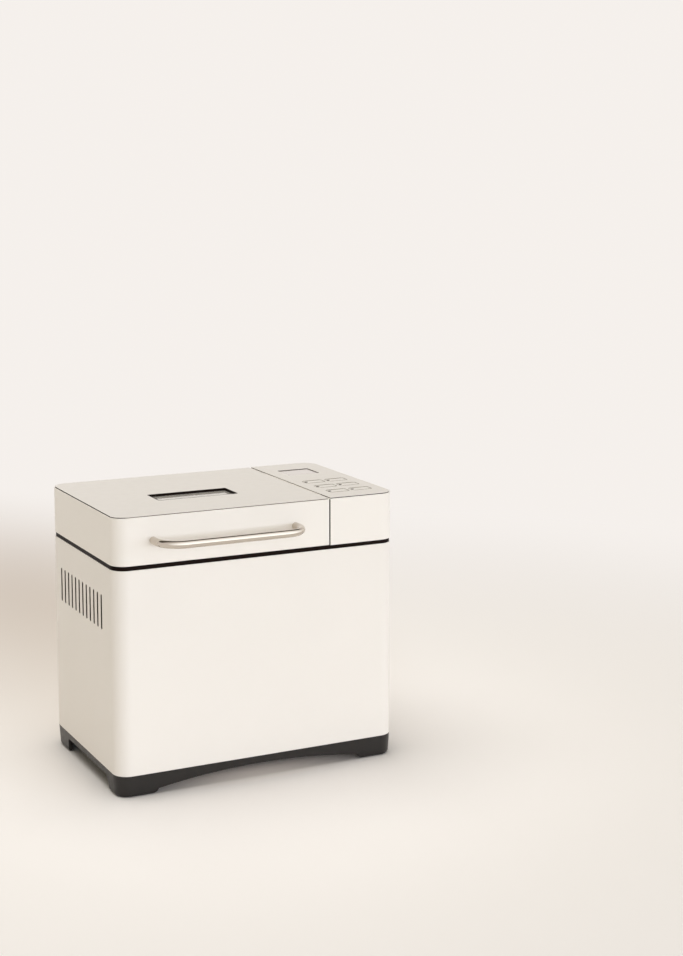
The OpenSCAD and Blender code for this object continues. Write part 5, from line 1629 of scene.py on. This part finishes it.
        # The rings' ends are painted plain again
        ends = [(x, (cap.y0 + cap.y1) / 2) for cap in self.caps for x in (cap.x0, cap.x1)]
        shell.paint(lambda m: (m[:, 2] > z - 0.4) & np.any(
            [(np.abs(m[:, 0] - x) < 2.6) & (np.abs(m[:, 1] - y) < 9) for x, y in ends], axis=0), 0)
        # The seam's painted shade is kept only near the front and rear ends
        front, rear = box.low[1] + self.shade_front_len, box.high[1] - self.shade_rear_len
        shell.paint(lambda m: (m[:, 0] < plate.low[0] + 0.7) & (m[:, 1] > front)
                    & (m[:, 1] < rear), 0)
        add_piece("panel_top_plate", shell, [SATIN_PLATE, PAINTED_SHADE, SHADED_SEAM], "machine",
                  "panel_plate")

    def build_lens(self) -> None:
        """The display lens: a face block in the plate's opening on a wider block below."""
        lens, top = span("display_window"), span("panel_housing").high[2]
        shell = Shell()
        shell.block(lens.plan(0.9, -0.6), top - 0.5, lens.high[2], 0.25)
        shell.block(lens.plan(1.2), lens.low[2], top - 0.02, 0.1)
        add_piece("display_lens_block", shell, [DISPLAY_LENS], "machine", "display_window")

    def build_key(self, key: str, cap: Plan) -> None:
        """A key: a cap with rounded edges and a dot of painted shade at its left end, a flange
        under the housing and a stem.

        Args:
            key: the key's name.
            cap: the cap's plan.
        """
        box, (x, y) = span(f"button_{key}"), span(f"button_{key}").mid[:2]
        under = span("panel_housing").high[2] - self.wall - 0.2
        rise, r, dot, h = self.sunk, self.stem_r, self.shade_dot_r, under - 1.0 - box.low[2]
        shell = Shell()
        shell.block(cap, under - 0.5, box.high[2] - rise, self.soft_edge)
        shell.block(box.plan(self.key_r), under - self.flange_t, under, 0.2)
        shell.turned(profile((0, 0), (r - 0.3, 0), (r, 0.3), (r, h), (0, h)),
                     (x, y, box.low[2]), steps=20)
        # A dot of painted shade at the cap's left end, where the gap lies in shade
        shell.turned(profile((0, -0.3), (dot, -0.3), (dot, 0),
                             arc(dot - 0.2, rise - 0.2, 0.2, 0, 90, 3), (0, rise)),
                     (cap.x0 + self.shade_dot_inset, y, box.high[2] - rise), steps=24, mark=1)
        add_piece(f"{key}_key_cap", shell, [KEY_CAP, PAINTED_SHADE], f"{key}_key", f"button_{key}")


# ------------ oven and pan


@dataclass
class BakingChamber:
    """The bright liner of the oven and the heater rod in it."""

    wall: float = 1.0
    rim: float = 7.0
    corner: float = 24.0
    floor_bend: float = 6.0
    mouth: float = 14.0
    rod_r: float = 3.25
    rod_wall: float = 10.5
    rod_bend: float = 26.0
    leads: float = 30.0
    lead_bend: float = 8.0
    tab_l: float = 6.0
    tab_w: float = 6.3
    tab_t: float = 0.8

    def build(self) -> None:
        """Builds liner and heater."""
        box = span("chamber_liner")
        w, d = box.size[:2] - 2 * self.rim
        self.build_liner(box, box.plan(self.corner, -2 * self.rim, 12))
        self.build_heater(box.mid[0], w / 2 - self.rod_wall, d / 2 - self.rod_wall)

    def build_liner(self, box: Span, plan: Plan) -> None:
        """The liner as inner and outer skin on one plan, with a round opening in its floor.

        Args:
            box: the liner's box.
            plan: its inside from above.
        """
        t, b, z0, z1, f = self.wall, self.floor_bend, box.low[2], box.high[2], self.rim
        ring = circle(*box.mid[:2], self.mouth, round_angles(40))
        path = profile(arc(b, z0 + b + t, b + t, 270, 180, 6), (-t, z1 - t), (-f, z1 - t),
                       (-f, z1 - 0.3), (0.3 - f, z1), (-1.6, z1),
                       arc(-1.2, z1 - 1.2, 1.2, 90, 0, 5), (0, z1 - 2.5),
                       arc(b, z0 + t + b, b, 180, 270, 6))
        shell = Shell()
        shell.grid(plan.rows(path))
        shell.flat(level(z0 + t), plan.at(b), [ring])
        shell.flat(level(z0), plan.at(b), [ring], up=False)
        shell.grid(np.stack([level(z0 + t).put(ring), level(z0).put(ring)]))
        add_piece("oven_liner", shell, [LINER_STEEL], "machine", "chamber_liner")

    def build_heater(self, x: float, w: float, d: float) -> None:
        """The heater: one bent rod round the pan, its leads side by side, each with a flat tab.

        Args:
            x: its middle.
            w: half of its width.
            d: half of its depth.
        """
        rod = span("heating_element")
        z, out, y = rod.mid[2], rod.high[0] - self.tab_l, self.leads / 2
        corners = [(out, y, z), (x + w, y, z), (x + w, d, z), (x - w, d, z), (x - w, -d, z),
                   (x + w, -d, z), (x + w, -y, z), (out, -y, z)]
        bends = [self.lead_bend] + [self.rod_bend] * 4 + [self.lead_bend]
        shell = Shell()
        shell.tube(bent_line(corners, bends, 14), self.rod_r, 20, 0.5)
        for middle in (-y, y):
            tab = Plan(out - 1, rod.high[0], middle - self.tab_w / 2, middle + self.tab_w / 2,
                       (0.2, 1.2, 1.2, 0.2), 4)
            shell.block(tab, z - self.tab_t / 2, z + self.tab_t / 2, 0.1, 0.1)
        add_piece("heater_rod", shell, [HEATER_SHEATH], "machine", "heating_element")


@dataclass
class BreadPan:
    """The coated pan with its rolled lip, the wire bail and the kneading paddle."""

    draft: float = 5.0
    wall: float = 1.6
    corner: float = 22.0
    lip: float = 3.0
    foot_bend: float = 8.0
    bush_r: float = 8.05
    emboss_r: float = 32.0
    emboss_slope: float = 8.0
    emboss: float = 0.9
    floor_steps: tuple[float, ...] = (0, 0.15, 0.3, 0.42, 0.5, 0.56, 0.62, 0.68, 0.74, 0.8, 0.9, 1)
    bail_r: float = 2.5
    bail_bend: float = 12.0
    pin_bend: float = 3.8
    hub_r: float = 7.65
    hub_h: float = 26.7
    foot_r: float = 10.5
    bore_r: float = 4.05
    bore_flat: float = 3.05
    fin_l: float = 56.0
    fin_h: float = 42.0
    fin_t: float = 3.0
    fin_soft: float = 1.1
    fin_bends: tuple[float, ...] = (3.0, 3.0, 2.5, 2.5, 3.0, 6.0, 2.4)

    def build_pan(self) -> None:
        """The pan: walls leaning in by the draft, a rolled lip, a floor pressed up in the middle.

        The floor runs from the outline L to the bush's circle C as (1 - s) L + s C, raised by a
        smooth step of the distance from the middle.
        """
        box = span("bread_pan")
        (x, y), lip = box.mid[:2], self.lip
        plan = box.plan(self.corner, -2 * lip, 12)
        z0, z1, b, t = box.low[2], box.high[2], self.foot_bend, self.wall

        def side(inset: float, z: float) -> tuple[float, float]:
            """A point of the leaning wall, draft (z1 - z) / (z1 - z0) further in at height z."""
            return inset + self.draft * (z1 - z) / (z1 - z0), z

        foot = arc(*side(b, z0 + b), b, 270, 180, 7)
        inner = arc(side(b + t, z0 + b)[0], z0 + t + b, b, 180, 270, 7)
        shell = Shell()
        shell.grid(plan.rows(profile(
            foot, side(0, z1 - 4), side(0, z1 - 2.2), (0.8 - lip, z1 - 2.0),
            arc(1 - lip, z1 - 1, 1.0, 270, 90, 8), (t - 1.6, z1),
            arc(t - 0.8, z1 - 0.8, 0.8, 90, 0, 4), side(t, z1 - 3), inner)))
        hole = circle(x, y, self.bush_r, np.arctan2(*(plan.at(20) - (x, y)).T[::-1]))
        s = np.array(self.floor_steps)[:, None, None]
        for start, z, rise, flip in ((plan.at(inner[-1, 0]), z0 + t, self.emboss, False),
                                     (plan.at(foot[0, 0]), z0, 0.0, True)):
            flat = (1 - s) * start + s * hole
            away = np.linalg.norm(flat - (x, y), axis=-1)
            step = np.clip((self.emboss_r - away) / self.emboss_slope + 0.5, 0, 1)
            height = z + rise * step**2 * (3 - 2 * step)
            shell.grid(np.concatenate([flat, height[..., None]], -1), flip=flip)
        shell.grid(np.stack([level(z0 + t + self.emboss).put(hole), level(z0).put(hole)]))
        add_piece("bread_pan_coated", shell, [GOLD_COAT], "pan", "bread_pan", crease=40)

    def build_bail(self) -> None:
        """The bail: one wire from pin to pin, folded down to the front."""
        box, pan = span("pan_bail"), span("bread_pan")
        r, z = self.bail_r, box.mid[2]
        x0, x1, front, pivot = box.low[0] + r, box.high[0] - r, box.low[1] + r, box.high[1] - r
        pin = pan.size[0] / 2 - self.lip + 0.4
        corners = [(pan.mid[0] - pin, pivot, z), (x0, pivot, z), (x0, front, z),
                   (x1, front, z), (x1, pivot, z), (pan.mid[0] + pin, pivot, z)]
        bends = [self.pin_bend, self.bail_bend, self.bail_bend, self.pin_bend]
        shell = Shell()
        shell.tube(bent_line(corners, bends, 12), r, 24, 0.4)
        add_piece("pan_bail_wire", shell, [WIRE_STEEL], "bail", "pan_bail")

    def build_paddle(self) -> None:
        """The paddle: a hub that pulls off its shaft, and a fin on it."""
        box = span("kneading_paddle")
        place = np.array([box.high[0] - self.foot_r, box.mid[1], box.low[2]])
        shell = Shell()
        self.add_hub(shell, place)
        self.add_fin(shell, place)
        add_piece("kneading_paddle_coated", shell, [GOLD_COAT], "paddle", "kneading_paddle",
                  crease=40)

    def add_hub(self, shell: Shell, place: np.ndarray) -> None:
        """The hub, a turned form with a foot, and its bore of the radius min(r, flat / cos a).

        Args:
            shell: takes the surfaces.
            place: the middle of the hub's lower side.
        """
        r, h, foot = self.hub_r, self.hub_h, self.foot_r
        path = profile((foot - 0.5, 0), arc(foot - 0.6, 0.6, 0.6, 270, 360, 3),
                       arc(foot - 0.7, 1.8, 0.7, 0, 90, 3), arc(r + 1.2, 3.7, 1.2, 270, 180, 4),
                       (r, h - 0.8), arc(r - 0.8, h - 0.8, 0.8, 0, 90, 4))
        a = round_angles(48)
        radius, height = path[:, :1], path[:, 1:]
        outer = np.stack([radius * np.cos(a), radius * np.sin(a), height + 0 * a], -1)
        bore = np.minimum(self.bore_r, self.bore_flat / np.maximum(np.cos(a), 0.05))
        hole = circle(0, 0, bore, a)
        wall = [np.c_[hole, np.full(len(a), h)], np.c_[hole, np.zeros(len(a))]]
        shell.grid(np.concatenate([outer, wall]) + place, loop=True)

    def add_fin(self, shell: Shell, place: np.ndarray) -> None:
        """The fin: its outline drawn in by r (1 - cos b), to both sides half less r (1 - sin b).

        Args:
            shell: takes the surfaces.
            place: the middle of the hub's lower side.
        """
        f, top, q, h = self.fin_l, self.fin_h, self.hub_r, self.hub_h
        corners = [(3 - q, 1, 0), (6 - f, 0, 0), (-f, 6, 0), (14 - f, top - 2, 0),
                   (17 - f, top, 0), (26 - f, top, 0), (-q - 6, h + 2, 0), (3 - q, h - 3, 0),
                   (3 - q, 1, 0)]
        line = bent_line(corners, self.fin_bends, 5)[:-1, :2]
        along = np.roll(line, -1, 0) - np.roll(line, 1, 0)
        square = np.stack([along[:, 1], -along[:, 0]], -1) / np.linalg.norm(along, axis=1)[:, None]
        inward = square if np.sum((line - line.mean(0)) * square) < 0 else -square
        half, soft, b = self.fin_t / 2, self.fin_soft, np.linspace(0, np.pi / 2, 6)
        upper, lower = soft * (1 - np.cos(b[::-1])), soft * (1 - np.cos(b))
        drawn = np.concatenate([[soft * 1.5], upper, lower, [soft * 1.5]])
        off = np.concatenate([[half], half - soft * (1 - np.sin(b[::-1])),
                              soft * (1 - np.sin(b)) - half, [-half]])
        rows = line[None] + drawn[:, None, None] * inward[None]
        depth = np.broadcast_to(off[:, None], rows.shape[:2])
        fin = np.stack([rows[..., 0], depth, rows[..., 1]], -1) + place
        shell.grid(fin, flip=area(line) < 0)
        for row, face in ((0, 1), (-1, -1)):
            plane = Plane(tuple(place + (0, face * half, 0)), (-face, 0, 0), (0, 0, 1))
            shell.flat(plane, rows[row] * (-face, 1))

    def build(self) -> None:
        """Builds pan, bail and paddle."""
        self.build_pan()
        self.build_bail()
        self.build_paddle()


def dress_packed_nodes() -> None:
    """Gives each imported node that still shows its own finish."""
    for finish, nodes in CAD_FINISHES.items():
        for node in nodes:
            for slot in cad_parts[node].material_slots:
                slot.material = finish.material()
            LOG.info("%s: packed node in %s", node, finish.name)


# ------------ studio


@dataclass
class Studio:
    """The pale floor, the soft overhead lamp, the room's light and the camera."""

    eye: Point = (-790.56, -1895.97, 705.54)
    yaw: float = 26.67
    pitch: float = 7.5
    lens: float = 65.56
    sensor: float = 36.0
    shift: float = -0.0895
    floor: Colour = (0.945, 0.918, 0.910)
    blend: tuple[float, float] = (0.4, 1.5)
    # The painted shadow behind the machine: the colour it multiplies the floor by, its middle and
    # half sizes
    shaded: Colour = (0.74, 0.69, 0.64)
    shade_at: Point = (0.0, 820.0, 0.0)
    shade_size: Point = (520.0, 1150.0, 1000.0)
    # The painted light that the floor gives off under the front arch: its colour, middle and half
    # sizes
    arch_light: Colour = (0.20, 0.17, 0.145)
    arch_at: Point = (0.0, -100.0, 0.0)
    arch_size: Point = (165.0, 36.0, 1000.0)
    seen: Colour = (0.915, 0.873, 0.838)
    around: Colour = (0.245, 0.215, 0.15)
    bright: Colour = (4.88, 5.19, 5.80)
    towards: Point = (0.342, -0.94, 0.0)
    spread: float = 0.34
    upper: float = 0.12
    dark: Colour = (0.13, 0.115, 0.10)
    dark_high: tuple[float, float] = (0.42, 0.66)
    dark_rear: tuple[float, float] = (-0.05, 0.3)
    glow: Colour = (1.05, 1.20, 1.32)
    top_lamp: Point = (-220.0, 280.3, 2500.0)
    top_aim: Point = (0.0, -19.7, 160.0)
    top_size: float = 2200.0
    top_watts: float = 49.0
    top_colour: Colour = (1.0, 0.985, 0.96)

    def build(self) -> None:
        """Builds floor, world, lamp and camera."""
        self.build_floor()
        self.build_world()
        self.build_lamp()
        self.build_camera()

    def build_floor(self) -> None:
        """A wide round floor, P(r, a) = (r cos a, r sin a, 0)."""
        r = np.array([0.0, 0.5, 1.0, 2.0, 4.0, 8.0, 16.0, 40.0])[:, None]
        a = round_angles(96)
        rows = np.stack([r * np.cos(a), r * np.sin(a), 0 * r * a], -1) * 1000 - ORIGIN * 1000
        shell = Shell()
        shell.grid(rows[::-1])
        floor = set_out("pale_floor", shell.mesh("pale_floor", 30))
        floor.data.materials.append(self.floor_material())

    def floor_material(self) -> bpy.types.Material:
        """The floor's material, whose far part takes the backdrop's own colour.

        It is darker in one oval, a painted shadow of the machine behind it, and in another it gives
        off a faint light, a painted pool of light on the floor under the front arch.

        Returns:
            The material.
        """
        made = bpy.data.materials.new("pale_floor")
        made.use_nodes = True
        tree = made.node_tree
        shader, out = tree.nodes["Principled BSDF"], tree.nodes["Material Output"]
        for label, value in (("Roughness", 0.9), ("Specular IOR Level", 0.1),
                             ("Emission Strength", 1.0)):
            shader.inputs[label].default_value = value
        place, path, glow, mix = add_nodes(tree, "TexCoord", "LightPath", "Emission", "MixShader")
        # shade is the oval of the painted shadow, lit the oval of the painted light under the arch
        shade = self.oval(tree, place, self.shade_at, self.shade_size)
        lit = self.oval(tree, place, self.arch_at, self.arch_size)
        near, far = (colour_mix(tree, colour, tuple(np.multiply(colour, self.shaded)))
                     for colour in (self.floor, self.seen))
        under = colour_mix(tree, (0, 0, 0), self.arch_light)
        away, step = maths(tree, "LENGTH", "VectorMath"), smooth_step(tree, *self.blend)
        seen, share = maths(tree, "MAXIMUM"), maths(tree, "MULTIPLY")
        link(tree, (shade, "Result", near, "Factor"), (shade, "Result", far, "Factor"),
             (lit, "Result", under, "Factor"), (near, "Result", shader, "Base Color"),
             (under, "Result", shader, "Emission Color"), (far, "Result", glow, "Color"),
             (place, "Object", away, 0), (away, "Value", step, "Value"),
             (path, "Is Camera Ray", seen, 0), (path, "Is Glossy Ray", seen, 1),
             (seen, 0, share, 0), (step, "Result", share, 1), (share, 0, mix, "Fac"),
             (shader, "BSDF", mix, 1), (glow, "Emission", mix, 2),
             (mix, "Shader", out, "Surface"))
        return made

    @staticmethod
    def oval(tree: Tree, place: Node, middle: Point,
             half: Point) -> Node:
        """A soft oval: 1 in the middle, falling smoothly to 0 at its half sizes.

        Args:
            tree: takes the nodes.
            place: the node that gives the places.
            middle: the oval's middle.
            half: half of its sizes.

        Returns:
            The last node, its output Result.
        """
        spot, size = tree.nodes.new("ShaderNodeMapping"), maths(tree, "LENGTH", "VectorMath")
        spot.vector_type = "TEXTURE"
        spot.inputs["Location"].default_value = metres(np.array(middle))
        spot.inputs["Scale"].default_value = [side / 1000 for side in half]
        fall = smooth_step(tree, 0.0, 1.0, 1.0, 0.0)
        link(tree, (place, "Object", spot, "Vector"), (spot, "Vector", size, 0),
             (size, "Value", fall, "Value"))
        return fall

    def build_world(self) -> None:
        """The room: light = around + bright * low(z) * max(0, direction . towards) squared.

        low(z) falls smoothly from 1 at the horizon to upper at the height spread.

        Where it is seen it has the backdrop's colour. Where it is mirrored it also has a soft
        glow from the bright side, and it is dark high up at the rear.
        """
        world = bpy.data.worlds.new("soft_room")
        bpy.context.scene.world = world
        world.use_nodes = True
        tree = world.node_tree
        light, out = tree.nodes["Background"], tree.nodes["World Output"]
        seen, mirrored, path, place, parts, first, last = add_nodes(
            tree, "Background", "Background", "LightPath", "TexCoord", "SeparateXYZ",
            "MixShader", "MixShader")
        facing = maths(tree, "DOT_PRODUCT", "VectorMath")
        front, through = maths(tree, "MAXIMUM"), maths(tree, "MAXIMUM")
        square, both, band = (maths(tree, "MULTIPLY") for _ in range(3))
        fade = smooth_step(tree, 0.0, self.spread, 1.0, self.upper)
        high, rear = smooth_step(tree, *self.dark_high), smooth_step(tree, *self.dark_rear)
        dim = colour_mix(tree, self.seen, self.dark)
        facing.inputs[1].default_value, front.inputs[1].default_value = self.towards, 0.0
        seen.inputs["Color"].default_value = (*self.seen, 1)
        for colour, strength, target in ((self.bright, band, light), (self.glow, front, mirrored)):
            scale, add = maths(tree, "SCALE", "VectorMath"), maths(tree, "ADD", "VectorMath")
            scale.inputs[0].default_value, add.inputs[1].default_value = colour, self.around
            link(tree, (strength, 0, scale, "Scale"), (scale, 0, add, 0), (add, 0, target, "Color"))
        # The last of the two, for what is mirrored, goes from the seen colour, not from around
        link(tree, (dim, "Result", add, 1), (place, "Generated", facing, 0),
             (place, "Generated", parts, 0), (facing, "Value", front, 0), (front, 0, square, 0),
             (front, 0, square, 1), (square, 0, band, 0), (parts, "Z", fade, "Value"),
             (fade, "Result", band, 1), (parts, "Z", high, "Value"), (parts, "Y", rear, "Value"),
             (high, "Result", both, 0), (rear, "Result", both, 1), (both, 0, dim, "Factor"),
             (path, "Is Camera Ray", through, 0), (path, "Is Transmission Ray", through, 1),
             (path, "Is Glossy Ray", first, "Fac"), (light, "Background", first, 1),
             (mirrored, "Background", first, 2), (through, 0, last, "Fac"),
             (first, "Shader", last, 1), (seen, "Background", last, 2),
             (last, "Shader", out, "Surface"))

    def build_lamp(self) -> None:
        """A square soft lamp overhead that looks at the middle of the machine."""
        data = bpy.data.lights.new("top_softbox", "AREA")
        data.shape, data.size = "SQUARE", self.top_size / 1000
        data.energy, data.color = self.top_watts, self.top_colour
        lamp = set_out("top_softbox", data)
        lamp.location, aim = (Vector(metres(np.array(p))) for p in (self.top_lamp, self.top_aim))
        lamp.visible_glossy = False
        lamp.rotation_euler = (aim - lamp.location).to_track_quat("-Z", "Y").to_euler()

    def build_camera(self) -> None:
        """The camera, turned by yaw from +Y towards +X and tipped down by pitch."""
        data = bpy.data.cameras.new("camera")
        data.lens, data.sensor_width, data.shift_y = self.lens, self.sensor, self.shift
        data.clip_start, data.clip_end = 0.05, 100.0
        camera = set_out("camera", data)
        camera.location = Vector(metres(np.array(self.eye)))
        turn, tip = (Matrix.Rotation(math.radians(angle), 3, axis)
                     for angle, axis in ((-self.yaw, "Z"), (90 - self.pitch, "X")))
        camera.rotation_euler = (turn @ tip).to_euler()
        bpy.context.scene.camera = camera


def main() -> None:
    """Builds the studio and the machine, piece by piece."""
    logging.basicConfig(level=logging.INFO, format="%(name)s %(message)s")
    bpy.context.scene.view_settings.view_transform = "Standard"
    Studio().build()
    house, hinge = Housing(), Hinge()
    wrap, lid = PaintedWrap(house), Lid(house, hinge)
    for part in (BaseTray(house), wrap, RearCover(wrap), TopFrame(house, hinge), lid,
                 ControlPanel(house, lid), BakingChamber(), BreadPan()):
        part.build()
        LOG.info("%s is in place", type(part).__name__)
    dress_packed_nodes()


if __name__ == "__main__":
    main()
